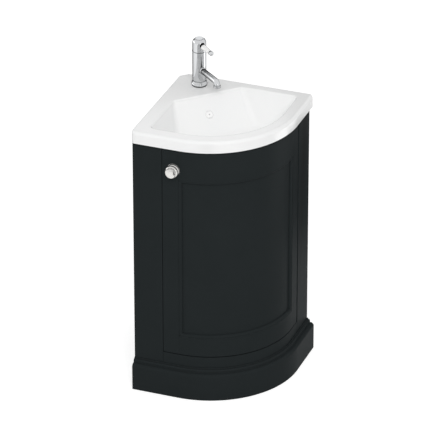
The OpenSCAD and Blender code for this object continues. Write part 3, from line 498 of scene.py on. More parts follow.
class Workshop:
    """Hands out materials, made once, and keeps the list of pieces made."""

    def __init__(self) -> None:
        """Builds the shared effects."""
        self.effects = SharedEffects()
        self.materials: dict[str, bpy.types.Material] = {}
        self.pieces: list[str] = []

    def material(self, finish: Finish) -> bpy.types.Material:
        """The material of a finish, built the first time it is asked for.

        Args:
            finish: the finish.

        Returns:
            Its material.
        """
        if finish.name not in self.materials:
            self.materials[finish.name] = finish.build(self.effects)
        return self.materials[finish.name]

    def carry(self, nodes: Iterable[str], finish: Finish) -> None:
        """Gives CAD nodes that stay on show their finish.

        Args:
            nodes: names of the nodes.
            finish: what they are finished in.
        """
        for name in nodes:
            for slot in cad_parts[name].material_slots:
                slot.material = self.material(finish)
            self.pieces.append(name)
            log.info("%s keeps its solid, in %s", name, finish.name)


# ---------------------------------------------------------------- shaping


def at(u: float, v: float, z: float) -> Matrix:
    """Upright place at a point of the corner frame."""
    return Matrix.Translation((u, v, z))


def linked(name: str, data: bpy.types.ID) -> bpy.types.Object:
    """Makes an object of a mesh, a lamp or a camera, and links it to the scene.

    Args:
        name: the object's name.
        data: what it shows.

    Returns:
        The object.
    """
    made = bpy.data.objects.new(name, data)
    bpy.context.scene.collection.objects.link(made)
    return made


def mesh_object(name: str, bm: bmesh.types.BMesh) -> bpy.types.Object:
    """Makes an object at the origin of a bmesh, and frees the bmesh.

    Args:
        name: name of the object and its mesh.
        bm: the shape.

    Returns:
        The object.
    """
    mesh = bpy.data.meshes.new(name)
    bm.to_mesh(mesh)
    bm.free()
    return linked(name, mesh)


def mark_arrises(mesh: bpy.types.Mesh) -> None:
    """Writes two attributes: arris, 1 on a rounded edge, and recess, 1 in a hollow corner.

    Args:
        mesh: the finished mesh, in metres.
    """
    hollow, crisp, slim_width = -math.radians(35), math.radians(14), 0.0015
    bm = bmesh.new()
    bm.from_mesh(mesh)
    arris = bm.verts.layers.float.new("arris")
    recess = bm.verts.layers.float.new("recess")
    for vert in bm.verts:
        folds = [e.calc_face_angle_signed(0.0) for e in vert.link_edges]
        vert[recess] = 1.0 if min(folds, default=0.0) < hollow else 0.0
        turn = max((e.calc_face_angle(0.0) for e in vert.link_edges), default=0.0)
        slim = all(f.calc_area() < slim_width * max(e.calc_length() for e in f.edges)
                   for f in vert.link_faces)
        vert[arris] = 1.0 if slim and turn > crisp else 0.0
    bm.to_mesh(mesh)
    bm.free()


class Joinery(Enum):
    """How one shape is worked into another."""

    CUT = "DIFFERENCE"
    ADD = "UNION"


class Workpiece:
    """One piece in the making, drawn in the room corner's frame in millimetres."""

    def __init__(self, name: str) -> None:
        """Starts an empty piece."""
        self.name = name
        self.bm = bmesh.new()
        self.worked: list[tuple["Workpiece", Joinery]] = []

    def ring(self, points: Iterable[Sequence[float]]) -> list[Vert]:
        """Adds a closed ring of vertices joined by edges.

        Args:
            points: where they stand, in order.

        Returns:
            The vertices.
        """
        verts = [self.bm.verts.new(p) for p in points]
        for a, b in zip(verts, verts[1:] + verts[:1]):
            self.bm.edges.new((a, b))
        return verts

    def ring_edges(self, ring: Sequence[Vert]) -> list[bmesh.types.BMEdge]:
        """The edges between neighbours in a ring."""
        pairs = zip(ring, list(ring[1:]) + [ring[0]])
        return [edge for a, b in pairs if (edge := self.bm.edges.get((a, b)))]

    def grow(self, ring: Sequence[Vert], points: Iterable[Sequence[float]]) -> list[Vert]:
        """Extrudes a ring and moves the new one onto points.

        Args:
            ring: the ring's vertices, in order.
            points: where each of them goes.

        Returns:
            The new ring, in the same order.
        """
        made = bmesh.ops.extrude_edge_only(self.bm, edges=self.ring_edges(ring))["geom"]
        fresh = {g for g in made if isinstance(g, Vert)}
        grown = []
        for vert, point in zip(ring, points):
            copy = next(e.other_vert(vert) for e in vert.link_edges if e.other_vert(vert) in fresh)
            copy.co = point
            grown.append(copy)
        return grown

    def cap(self, ring: Sequence[Vert]) -> None:
        """Closes a ring with one face."""
        bmesh.ops.edgeloop_fill(self.bm, edges=self.ring_edges(ring))

    def deck(self, rings: Sequence[Sequence[Vert]]) -> None:
        """Fills the flat region between an outer ring and the holes in it."""
        edges = [edge for ring in rings for edge in self.ring_edges(ring)]
        bmesh.ops.triangle_fill(self.bm, use_beauty=True, edges=edges, normal=(0.0, 0.0, 1.0))

    def lathe(self, profile: Outline, place: Matrix, steps: int = 96, closed: bool = True) -> "Workpiece":
        """Turns a profile about the local z axis.

        Args:
            profile: (radius, height) pairs.
            place: where the axis stands.
            steps: number of facets round.
            closed: whether the profile joins up; an open one starts and ends on the axis.

        Returns:
            The piece itself.
        """
        verts = [self.bm.verts.new(place @ Vector((r, 0.0, z))) for r, z in profile]
        pairs = list(zip(verts, verts[1:])) + ([(verts[-1], verts[0])] if closed else [])
        edges = [self.bm.edges.new(pair) for pair in pairs]
        axis = (place.to_3x3() @ Vector((0.0, 0.0, 1.0))).normalized()
        bmesh.ops.spin(self.bm, geom=verts + edges, cent=place.translation, axis=axis,
                       angle=2 * math.pi, steps=steps, use_merge=True)
        return self

    def prism(self, plan: Outline, low: float, high: float) -> "Workpiece":
        """Extrudes a plan outline from one height to another.

        Args:
            plan: the outline.
            low, high: the two heights.

        Returns:
            The piece itself.
        """
        ring = self.ring((u, v, low) for u, v in plan)
        self.cap(ring)
        self.cap(self.grow(ring, ((u, v, high) for u, v in plan)))
        return self

    def sweep_front(self, profile: Outline, wall: float, start: float) -> "Workpiece":
        """Sweeps a profile along the front: straight, quarter circle, straight.

        Args:
            profile: (out, up) pairs, out measured from the wall length.
            wall: length along each wall at which out is 0.
            start: distance from the walls at which the sweep begins and ends.

        Returns:
            The piece itself.
        """
        facets, reach = 72, wall - BEND
        first = self.ring((start, wall + out, up) for out, up in profile)
        ring = self.grow(first, ((BEND, wall + out, up) for out, up in profile))
        for k in range(1, facets + 1):
            a = QUARTER * (1 - k / facets)
            ring = self.grow(ring, ((BEND + (reach + out) * math.cos(a),
                                     BEND + (reach + out) * math.sin(a), up) for out, up in profile))
        last = self.grow(ring, ((wall + out, start, up) for out, up in profile))
        self.cap(first)
        self.cap(last)
        return self

    def rod(self, radius: float, place: Matrix, length: float, steps: int = 48) -> "Workpiece":
        """A plain cylinder from the place's origin along its z axis, for cutting or joining."""
        outline = [(0.0, 0.0), (radius, 0.0), (radius, length), (0.0, length)]
        return self.lathe(outline, place, steps, closed=False)

    def block(self, low: Triple, high: Triple) -> "Workpiece":
        """A box between two corners, for cutting."""
        plan = [(low[0], low[1]), (high[0], low[1]), (high[0], high[1]), (low[0], high[1])]
        return self.prism(plan, low[2], high[2])

    def work(self, other: "Workpiece", how: Joinery) -> "Workpiece":
        """Cuts another piece out of this one, or joins it on, when this one is settled."""
        self.worked.append((other, how))
        return self

    def bore(self, name: str, radius: float, place: Matrix, length: float, steps: int = 48) -> "Workpiece":
        """Cuts a round hole that runs from the place's origin along its z axis."""
        return self.work(Workpiece(name).rod(radius, place, length, steps), Joinery.CUT)

    def _object(self) -> bpy.types.Object:
        """Closes the shape, turns it into the row's frame and makes it an object.

        Returns:
            The object, with the whole shape in its mesh.
        """
        bmesh.ops.remove_doubles(self.bm, verts=self.bm.verts, dist=0.001)
        bmesh.ops.transform(self.bm, matrix=TO_ROW, verts=self.bm.verts)
        bmesh.ops.recalc_face_normals(self.bm, faces=self.bm.faces)
        return mesh_object(self.name, self.bm)

    def _apply_work(self, made: bpy.types.Object) -> None:
        """Runs the cuts and joins, and leaves the result in the piece's own mesh.

        Args:
            made: the piece's object.
        """
        helpers = []
        for other, how in self.worked:
            helper = other._object()
            step = made.modifiers.new(helper.name, "BOOLEAN")
            step.operation, step.solver, step.object = how.value, "EXACT", helper
            helpers.append(helper)
        bpy.context.view_layer.update()
        ready = made.evaluated_get(bpy.context.evaluated_depsgraph_get())
        mesh = bpy.data.meshes.new_from_object(ready)
        made.modifiers.clear()
        made.data = mesh
        mesh.name = self.name
        for helper in helpers:
            bpy.data.objects.remove(helper)

    def settle(self, shop: Workshop, body: str, node: str, finish: Finish, sharp: float = 34.0) -> None:
        """Finishes the piece and puts it in place of its CAD node.

        Args:
            shop: where materials come from.
            body: the CAD body that it moves with.
            node: the CAD node that it stands for.
            finish: what it is finished in.
            sharp: angle in degrees above which an edge stays crisp.
        """
        made = self._object()
        if self.worked:
            self._apply_work(made)
        mesh = made.data
        mark_arrises(mesh)
        mesh.shade_smooth()
        mesh.set_sharp_from_angle(angle=math.radians(sharp))
        made.modifiers.new("even_shading", "WEIGHTED_NORMAL").keep_sharp = True
        mesh.materials.clear()
        mesh.materials.append(shop.material(finish))
        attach(made, body)
        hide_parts(node)
        shop.pieces.append(made.name)
        log.info("%s: %d faces, in %s", made.name, len(mesh.polygons), finish.name)


@dataclass
class Assembly:
    """A sub-assembly, whose other fields are its sizes, in millimetres and degrees.

    Attributes:
        shop: where its materials come from.
    """

    shop: Workshop

    def build(self) -> None:
        """Makes its pieces."""
        raise NotImplementedError


# ---------------------------------------------------------------- cabinet


@dataclass
class Plinth(Assembly):
    """Moulded plinth: plain face, ovolo, quirk, bead and fillet.

    Attributes:
        thick, height: the section's size.
        face, ovolo: height of the plain face, and radius of the ovolo over it.
        quirk: how far out the quirk lies.
        bead, bead_drop: the bead's radius, and the depth of its centre under the top.
        fillet, arris: how far out the fillet lies, and the rounding of sharp edges.
    """

    thick: float = 22.0
    height: float = 102.0
    face: float = 78.0
    ovolo: float = 10.0
    quirk: float = 9.5
    bead: float = 4.5
    bead_drop: float = 8.0
    fillet: float = 3.0
    arris: float = 0.7

    def profile(self) -> Outline:
        """Section of the moulding, out from the cabinet's face.

        Returns:
            The section as (out, up) pairs.
        """
        bead_z = self.height - self.bead_drop
        points = [(0.0, 0.0), (self.thick, 0.0)]
        points += arc(self.thick - self.ovolo, self.face, self.ovolo, 0, 90, 12)
        points += [(self.quirk, self.face + self.ovolo), (self.quirk, bead_z)]
        points += arc(self.bead, bead_z, self.bead, 0, 108, 10)
        points += [(self.fillet, self.height), (0.0, self.height)]
        return softened(points, self.arris)

    def build(self) -> None:
        """Sweeps the moulding round the front."""
        piece = Workpiece("moulded_plinth").sweep_front(self.profile(), FACE, 0.0)
        piece.settle(self.shop, "cabinet", "plinth", PAINT)


@dataclass
class FaceFrame(Assembly):
    """Fixed stiles beside the door and the rail under it.

    Attributes:
        thick: thickness of the stiles and the rail.
        stile_width, stile_arris, top: the stiles' width, rounding and height.
        rail_low, rail_high, rail_arris: heights of the rail's two edges, and their rounding.
        shadow_gap: gap between the rail and the stiles.
        pocket_low, pocket_high: corners of the pivot plate's pocket in the right stile.
    """

    thick: float = 18.0
    stile_width: float = 92.0
    stile_arris: float = 1.2
    top: float = 832.0
    rail_low: float = 60.0
    rail_high: float = 137.0
    rail_arris: float = 0.8
    shadow_gap: float = 0.8
    pocket_low: Triple = (391.8, 39.8, 829.8)
    pocket_high: Triple = (408.4, 110.0, 833.0)

    def stile_plan(self) -> Outline:
        """Plan of the left stile, its two front corners rounded."""
        back, w, r = FACE - self.thick, self.stile_width, self.stile_arris
        return [(0.0, back), (w, back), *arc(w - r, FACE - r, r, 0, 90, 4), *arc(r, FACE - r, r, 90, 180, 4)]

    def build(self) -> None:
        """Makes the two stiles, the pivot plate's pocket in the right one, and the curved rail."""
        left = Workpiece("left_fixed_stile").prism(self.stile_plan(), 0.0, self.top)
        left.settle(self.shop, "cabinet", "left_face_stile", PAINT)
        right = Workpiece("right_fixed_stile").prism(mirrored(self.stile_plan()), 0.0, self.top)
        pocket = Workpiece("plate_pocket").block(self.pocket_low, self.pocket_high)
        right.work(pocket, Joinery.CUT).settle(self.shop, "cabinet", "right_face_stile", PAINT)
        section = [(-self.thick, self.rail_low), (0.0, self.rail_low),
                   (0.0, self.rail_high), (-self.thick, self.rail_high)]
        rail = Workpiece("curved_bottom_rail")
        rail.sweep_front(softened(section, self.rail_arris), FACE, self.stile_width + self.shadow_gap)
        rail.settle(self.shop, "cabinet", "bottom_rail", PAINT)


@dataclass
class FramedDoor(Assembly):
    """Curved door: flat stiles, bent rails, bent panel and the bead round it.

    Attributes:
        thick, low, high: the door's thickness, and the heights of its two ends.
        open_low, open_high: heights between which the panel shows.
        edge, stile_in: from the wall to a stile's outer and inner edge.
        stile_arris, rail_arris, panel_arris, bead_arris: rounding of each piece's sharp edges.
        recess, rebate: how far the panel lies behind the face, and runs into the frame.
        bead_wide, bead_high: size of the bead's section.
        pivot, bush_hole, bush_depth: the pivots' axis, and the holes for their bushes.
    """

    thick: float = 16.0
    low: float = 140.0
    high: float = 828.5
    open_low: float = 202.0
    open_high: float = 729.5
    edge: float = 93.5
    stile_in: float = 144.0
    stile_arris: float = 1.0
    rail_arris: float = 0.8
    panel_arris: float = 0.6
    recess: float = 8.0
    rebate: float = 8.0
    bead_wide: float = 10.0
    bead_high: float = 7.0
    bead_arris: float = 0.5
    pivot: tuple[float, float] = (400.0, 101.5)
    bush_hole: float = 5.02
    bush_depth: float = 18.0

    def rebate_cut(self, name: str, right: bool) -> Workpiece:
        """Block that cuts the panel's rebate into a stile.

        Args:
            name: the block's name.
            right: whether it is for the right stile, across the unit's diagonal.

        Returns:
            The block.
        """
        low = (self.stile_in - self.rebate, FACE - self.thick - PAST, self.open_low - self.rebate)
        high = (self.stile_in + PAST, FACE - self.recess, self.open_high + self.rebate)
        if right:
            low, high = (low[1], low[0], low[2]), (high[1], high[0], high[2])
        return Workpiece(name).block(low, high)

    def stiles(self) -> None:
        """Makes both stiles, the right one rounded about the pivot and bored for its bushes."""
        back = FACE - self.thick
        plan = softened([(self.edge, back), (self.stile_in, back),
                         (self.stile_in, FACE), (self.edge, FACE)], self.stile_arris)
        left = Workpiece("door_stile_left").prism(plan, self.low, self.high)
        left.work(self.rebate_cut("left_rebate", False), Joinery.CUT)
        left.settle(self.shop, "door", "door_left_stile", PAINT)
        plan = [(back, self.stile_in), *arc(*self.pivot, self.thick / 2, 180, 360, 24), (FACE, self.stile_in)]
        right = Workpiece("door_stile_right").prism(plan, self.low, self.high)
        right.work(self.rebate_cut("right_rebate", True), Joinery.CUT)
        for z in (self.low - PAST, self.high - self.bush_depth):
            right.bore("bush_bore", self.bush_hole, at(*self.pivot, z), self.bush_depth + PAST)
        right.settle(self.shop, "door", "door_right_stile", PAINT)

    def rails(self) -> None:
        """Makes the two bent rails, each with its tongue behind the panel."""
        tongue_high, tongue_low = self.open_high + self.rebate, self.open_low - self.rebate
        top = [(-self.recess, self.open_high), (0.0, self.open_high), (0.0, self.high),
               (-self.thick, self.high), (-self.thick, tongue_high), (-self.recess, tongue_high)]
        bottom = [(-self.thick, self.low), (0.0, self.low), (0.0, self.open_low),
                  (-self.recess, self.open_low), (-self.recess, tongue_low),
                  (-self.thick, tongue_low)]
        for name, node, section in (("door_rail_top", "door_top_rail", top),
                                    ("door_rail_bottom", "door_bottom_rail", bottom)):
            rail = Workpiece(name).sweep_front(softened(section, self.rail_arris), FACE, self.stile_in)
            rail.settle(self.shop, "door", node, PAINT)

    def panel(self) -> None:
        """Makes the bent panel."""
        low, high = self.open_low - self.rebate, self.open_high + self.rebate
        section = softened([(-self.recess, low), (0.0, low), (0.0, high), (-self.recess, high)],
                           self.panel_arris)
        panel = Workpiece("bent_door_panel")
        panel.sweep_front(section, FACE - self.recess, self.stile_in - self.rebate)
        panel.settle(self.shop, "door", "door_panel", PAINT)

    def bead_section(self) -> Outline:
        """Section of the bead: (across the panel, out from it)."""
        points = [(0.0, 0.0), (0.0, self.bead_high)]
        return points + arc(self.bead_wide - self.bead_high, 0.0, self.bead_high, 90, 0, 12)

    def bead(self) -> None:
        """Makes the bead's two uprights and two bent lengths."""
        wall, low, high = FACE - self.recess, self.open_low, self.open_high
        section = softened(self.bead_section(), self.bead_arris)
        upright = [(self.stile_in + w, wall + h) for w, h in section]
        bead = Workpiece("panel_bead_moulding").prism(upright, low, high)
        bead.prism(mirrored(upright), low, high)
        bead.sweep_front([(h, low + w) for w, h in section], wall, self.stile_in)
        bead.sweep_front([(h, high - w) for w, h in section], wall, self.stile_in)
        bead.settle(self.shop, "door", "panel_bead", PAINT)

    def build(self) -> None:
        """Makes the whole door."""
        self.stiles()
        self.rails()
        self.panel()
        self.bead()


@dataclass
class DoorKnob(Assembly):
    """Turned knob on its domed rose.

    Attributes:
        across, tip: the knob's width, and how far it stands out from the door.
        face, face_rings: radius of its domed face, and the radii that the dome is turned at.
        rose, rise: radius and thickness of the rose under it.
        shank: radius of the hole in the rose.
        centre: where the knob's axis leaves the door.
    """

    across: float = 40.0
    tip: float = 30.0
    face: float = 38.0
    face_rings: tuple[float, ...] = (14.8, 13.6, 12.0, 10.0, 8.0, 6.0, 4.0, 2.0, 0.0)
    rose: float = 20.0
    rise: float = 9.0
    shank: float = 2.2
    centre: Triple = (129.0, FACE, 761.0)

    def build(self) -> None:
        """Turns the knob, full at the back with a step before its face, and the rose."""
        place = at(*self.centre) @ Matrix.Rotation(-QUARTER, 4, "X")
        k = self.across / 2
        body = [(0.0, self.rise + 0.1), (k - 3.0, self.rise + 0.1)]
        body += arc(k - 10.0, 14.5, 10.0, -36, 52, 22, high=8.5)
        body += arc(k - 4.6, 23.6, 1.3, -60, 80, 8) + [(k - 4.8, 25.9)]
        body += dome(self.tip, self.face, self.face_rings)
        knob = Workpiece("turned_knob").lathe(body, place, closed=False)
        knob.settle(self.shop, "door", "knob", NICKEL)
        foot = 1.6
        rose = [(self.shank, 0.0), (self.rose, 0.0), (self.rose, 1.2)]
        rose += arc(self.rose - 8.0, foot, 7.6, 0, 90, 15, high=self.rise - foot)
        rose += [(self.shank, self.rise)]
        Workpiece("knob_backplate").lathe(rose, place).settle(self.shop, "door", "knob_rose", NICKEL)


# ---------------------------------------------------------------- basin


def cut_corner(u: float, v: float, degrees: float, roll: float) -> Edge:
    """One end of the basin's cut corner, as an edge of one point.

    Args:
        u, v: its place.
        degrees: direction in which it points.
        roll: radius of the rolled edge.

    Returns:
        The point, with the length of inset that keeps the corner mitred.
    """
    a, mitre = math.radians(degrees), 1.0 / math.cos(math.radians(22.5))
    return [(Vector((u, v)), Vector((math.cos(a), math.sin(a))) * mitre, roll)]


def straight_edge(a: tuple[float, float], b: tuple[float, float], out: tuple[float, float],
                  roll: float, steps: int) -> Edge:
    """A straight side of the basin.

    Args:
        a, b: its ends, which are left out.
        out: direction in which it faces.
        roll: radius of the rolled edge.
        steps: number of chords.

    Returns:
        The points between the ends.
    """
    return [(Vector(a).lerp(Vector(b), k / steps), Vector(out), roll) for k in range(1, steps)]


def bent_edge(cx: float, cy: float, r: float, start: float, rolls: tuple[float, float], steps: int) -> Edge:
    """A quarter circle in the basin's outline.

    Args:
        cx, cy: its centre.
        r: its radius.
        start: first angle in degrees.
        rolls: radius of the rolled edge at both ends.
        steps: number of chords.

    Returns:
        The points, ends included.
    """
    made: Edge = []
    for k in range(steps + 1):
        a = math.radians(start + 90.0 * k / steps)
        out = Vector((math.cos(a), math.sin(a)))
        roll = rolls[0] + (rolls[1] - rolls[0]) * eased(k / steps)
        made.append((Vector((cx, cy)) + out * r, out, roll))
    return made


@dataclass
class CornerBasin(Assembly):
    """Ceramic basin: rolled deck, leaning bowl, overflow duct and waste boss.

    Attributes:
        wall, low: length along each wall, and the height of the skirt's foot.
        skirt, deck_under: the skirt's thickness, and the height of the deck's underside.
        tip, cut: radius of the two front corners, and the rear corner's cut.
        front_roll, wall_roll: radius of the rolled edge at the front and on the walls.
        lip_drop, lip_width: height and width of the rounding at the bowl's mouth.
        left, back: from the walls to the mouth's two straight sides.
        rear: u plus v along the mouth's rear side, behind which the tap stands.
        front_u, reach: u of the centre of the mouth's front arc, and its radius.
        front_corner, rear_corner: radii of the mouth's corners.
        fillet, side_lean, rear_lean: rounding at the floor, and how far the walls lean.
        shell, shell_foot: the bowl's thickness, and the height where its outside turns up.
        tap_hole: radius of the hole for the tap.
        seat: section of the waste's seat and boss, as (radius, height over the floor).
        overflow_drop: depth of the overflow's middle under the rim.
        overflow_bore: radius of the overflow's hole.
        ring_seat, ring_sunk: radius of the seat for the overflow's ring, and its depth.
        duct_in, duct_low: how far the duct lies behind the wall and under the floor.
        duct_wall, duct_bore: radius of the duct outside, and of the way through it.
        waste_bore: radius of the waste's hole.
    """

    wall: float = 421.0
    low: float = 832.0
    skirt: float = 11.0
    deck_under: float = 858.0
    tip: float = 13.0
    cut: float = 22.0
    front_roll: float = 10.0
    wall_roll: float = 4.0
    lip_drop: float = 7.0
    lip_width: float = 5.5
    left: float = 46.0
    back: float = 33.0
    rear: float = 237.0
    front_u: float = BEND + 3.0
    reach: float = 229.0
    front_corner: float = 14.0
    rear_corner: float = 22.0
    fillet: float = 45.0
    side_lean: float = 22.0
    rear_lean: float = 36.0
    shell: float = 10.0
    shell_foot: float = 782.0
    tap_hole: float = 17.5
    seat: tuple[tuple[float, float], ...] = (
        (32.6, 0.0), (31.9, -0.2), (31.7, -0.9), (31.7, -3.0), (23.0, -3.0), (23.0, -28.0),
        (37.2, -28.0), (38.0, -27.2), (38.0, -10.0))
    overflow_drop: float = 51.0
    overflow_bore: float = 9.5
    ring_seat: float = 12.2
    ring_sunk: float = 1.0
    duct_in: float = 16.0
    duct_low: float = 14.6
    duct_wall: float = 13.0
    duct_bore: float = 7.0
    waste_bore: float = 23.0

    def outer(self) -> Edge:
        """Outline of the basin, anticlockwise from the back wall's end of the cut corner.

        Returns:
            For each point its place, the direction in which an inset leaves it (with the
            length that keeps a corner mitred), and the radius of the rolled edge there.
        """
        w, t, c = self.wall, self.tip, self.cut
        small, big, slant = self.wall_roll, self.front_roll, -0.7071068
        return [*cut_corner(c, 0.0, 247.5, small),
                *straight_edge((c, 0.0), (w - t, 0.0), (0.0, -1.0), small, 24),
                *bent_edge(w - t, t, t, -90, (small, big), 14),
                *straight_edge((w, t), (w, BEND), (1.0, 0.0), big, 10),
                *bent_edge(BEND, BEND, w - BEND, 0, (big, big), 90),
                *straight_edge((BEND, w), (t, w), (0.0, 1.0), big, 10),
                *bent_edge(t, w - t, t, 90, (big, small), 14),
                *straight_edge((0.0, w - t), (0.0, c), (-1.0, 0.0), small, 24),
                *cut_corner(0.0, c, 202.5, small),
                *straight_edge((0.0, c), (c, 0.0), (slant, slant), small, 3)]

    def mouth_centres(self) -> list[Vector]:
        """Centres of the mouth's corners: left front, rear left, rear right, right front.

        Returns:
            The four points.
        """
        f, r = self.front_corner, self.rear_corner
        shift = r * (math.sqrt(2) - 1)
        return [Vector((self.left + f, BEND + self.reach - f)),
                Vector((self.left + r, self.rear - self.left + shift)),
                Vector((self.rear - self.back + shift, self.back + r)),
                Vector((self.front_u + self.reach - f, self.back + f))]

    def floor_centres(self) -> list[Vector]:
        """Centres of the fillet at the bowl's four corners, in the mouth's order.

        Returns:
            The four points.
        """
        drop = RIM - self.lip_drop - (BOWL_FLOOR + self.fillet)
        side, lean = math.radians(self.side_lean), math.radians(self.rear_lean)
        inset = drop * math.tan(side) + self.fillet / math.cos(side)
        behind = (drop * math.tan(lean) + self.fillet / math.cos(lean)) * math.sqrt(2)
        u, v, r = self.left + inset, self.back + inset, self.reach - inset
        return [Vector((u, BEND + r)), Vector((u, self.rear + behind - u)),
                Vector((self.rear + behind - v, v)), Vector((self.front_u + r, v))]

    def stations(self) -> list[tuple[int, float, float]]:
        """Points round the bowl.

        Returns:
            For each point its corner, its direction in degrees, and its share of the way
            to the next corner. The front's arc counts as corner 4.
        """
        made: list[tuple[int, float, float]] = []
        spans = ((0, 90.0, 180.0, 10, 12), (1, 180.0, 225.0, 8, 12), (2, 225.0, 270.0, 8, 12),
                 (3, 270.0, 360.0, 10, 6), (4, 0.0, 90.0, 64, 6))
        for corner, start, end, turns, run in spans:
            made += [(corner, start + (end - start) * k / turns, 0.0) for k in range(turns + 1)]
            made += [(corner, end, k / run) for k in range(1, run)]
        return made

    def bowl_ring(self, mouth: float = 0.0, depth: float = 0.0, grow: float = 0.0,
                  lift: float = 0.0) -> Ring:
        """One ring round the bowl.

        Args:
            mouth: 1 at the mouth slice, 0 where the wall meets the fillet.
            depth: 0 where the fillet starts, 1 at the floor.
            grow: distance outside the bowl's inner face.
            lift: height added to the ring.

        Returns:
            Its points, in the order of the stations.
        """
        top, low = self.mouth_centres(), self.floor_centres()
        corners = (self.front_corner, self.rear_corner, self.rear_corner, self.front_corner)
        front, front_foot = Vector((self.front_u, BEND)), low[0].y - BEND
        r = self.fillet + grow
        made: Ring = []
        for corner, degrees, share in self.stations():
            a = math.radians(degrees)
            out = Vector((math.cos(a), math.sin(a)))
            heads = [centre + out * size for centre, size in zip(top, corners)] + [front + out * self.reach]
            feet = low + [front + out * front_foot]
            ahead = (corner + 1) % len(feet)
            head = heads[corner].lerp(heads[ahead], share)
            centre = feet[corner].lerp(feet[ahead], share)
            rear = eased((45.0 - abs(degrees - 225.0)) / 45.0)
            lean = math.radians(self.side_lean + (self.rear_lean - self.side_lean) * rear)
            tilt = lean + (QUARTER - lean) * depth
            foot = centre + out * (r * math.cos(tilt))
            foot_z = BOWL_FLOOR + self.fillet - r * math.sin(tilt)
            z = foot_z + (RIM - self.lip_drop - foot_z) * mouth
            made.append((*foot.lerp(head + out * grow, mouth), z + lift))
        return made

    def waste_ring(self, r: float, z: float) -> Ring:
        """Ring round the waste with one point for each station.

        Args:
            r, z: its radius and height.

        Returns:
            Its points, in the order of the stations.
        """
        made: Ring = []
        for u, v, _ in self.bowl_ring(depth=1.0):
            d = Vector((u - WASTE_AXIS, v - WASTE_AXIS)).normalized()
            made.append((WASTE_AXIS + d.x * r, WASTE_AXIS + d.y * r, z))
        return made

    def inset_ring(self, inset: float, z: float) -> Ring:
        """The outline moved inwards, at one height."""
        return [(*(p - out * inset), z) for p, out, _ in self.outer()]

    def rolled_ring(self, turn: float) -> Ring:
        """The outline partly round the rolled edge, from upright at 0 to flat at a quarter turn."""
        return [(*(p - out * (r * (1 - math.cos(turn)))), RIM - r * (1 - math.sin(turn)))
                for p, out, r in self.outer()]

    def grow_skirt(self, w: Workpiece) -> tuple[list[Vert], list[Vert]]:
        """Grows the skirt and the rolled edge over it.

        Args:
            w: the piece.

        Returns:
            The outer rings of the flat deck and of its underside.
        """
        edge = inner = w.ring(self.inset_ring(1.5, self.low))
        # The rest of the rounding at the skirt's foot, as (inset, height over the foot).
        for inset, lift in ((0.75, 0.2), (0.2, 0.75), (0.0, 1.5)):
            edge = w.grow(edge, self.inset_ring(inset, self.low + lift))
        for k in range(11):
            edge = w.grow(edge, self.rolled_ring(QUARTER * k / 10))
        flat = 0.8
        edge = w.grow(edge, [(p.x - out.x * (r + flat), p.y - out.y * (r + flat), RIM)
                             for p, out, r in self.outer()])
        for inset, z in ((self.skirt - 0.6, self.low), (self.skirt, self.low + 0.6),
                         (self.skirt, self.deck_under)):
            inner = w.grow(inner, self.inset_ring(inset, z))
        return edge, inner

    def grow_bowl(self, w: Workpiece) -> tuple[list[Vert], list[Vert]]:
        """Grows the lip, the wall, the fillet, the waste's seat and boss, and the outside.

        Args:
            w: the piece.

        Returns:
            The rings where the bowl meets the deck and the deck's underside.
        """
        flat = 0.9
        around = self.bowl_ring(mouth=1.0, grow=self.lip_width + flat)
        lip = bowl = w.ring((u, v, RIM) for u, v, _ in around)
        for k in range(9):
            a = QUARTER * k / 8
            bowl = w.grow(bowl, self.bowl_ring(mouth=1.0, grow=self.lip_width * (1 - math.sin(a)),
                                               lift=self.lip_drop * math.cos(a)))
        for k in range(1, 5):
            bowl = w.grow(bowl, self.bowl_ring(mouth=1 - k / 4))
        for k in range(1, 11):
            bowl = w.grow(bowl, self.bowl_ring(depth=k / 10))
        for r, rise in self.seat:
            bowl = w.grow(bowl, self.waste_ring(r, BOWL_FLOOR + rise))
        for k in range(10, -1, -1):
            bowl = w.grow(bowl, self.bowl_ring(depth=k / 10, grow=self.shell))
        share = (self.deck_under - self.shell_foot) / (RIM - self.lip_drop - self.shell_foot)
        around = self.bowl_ring(mouth=share, grow=self.shell)
        return lip, w.grow(bowl, ((u, v, self.deck_under) for u, v, _ in around))

    def body(self) -> Workpiece:
        """Grows the ceramic as one closed skin, from the skirt's foot to the tap's hole.

        Returns:
            The piece, without its overflow.
        """
        w = Workpiece("corner_basin")
        edge, inner = self.grow_skirt(w)
        lip, under = self.grow_bowl(w)
        hole = all_round(*TAP_AXIS, self.tap_hole, 64)
        hole_top = w.ring((u, v, RIM) for u, v in hole)
        hole_low = w.grow(hole_top, ((u, v, self.deck_under) for u, v in hole))
        w.deck([edge, lip, hole_top])
        w.deck([inner, under, hole_low])
        return w

    def overflow_reach(self) -> float:
        """Distance from the room's corner to the overflow's middle, along the diagonal."""
        lean = math.radians(self.rear_lean)
        return self.rear / math.sqrt(2) + (self.overflow_drop - self.lip_drop) * math.tan(lean)

    def overflow_place(self) -> Matrix:
        """Where the overflow's axis leaves the rear wall.

        Returns:
            The place, its z axis into the bowl.
        """
        side = self.overflow_reach() / math.sqrt(2)
        turn = Matrix.Rotation(math.pi / 4, 4, "Z") @ Matrix.Rotation(
            math.radians(90.0 - self.rear_lean), 4, "Y")
        return at(side, side, RIM - self.overflow_drop) @ turn

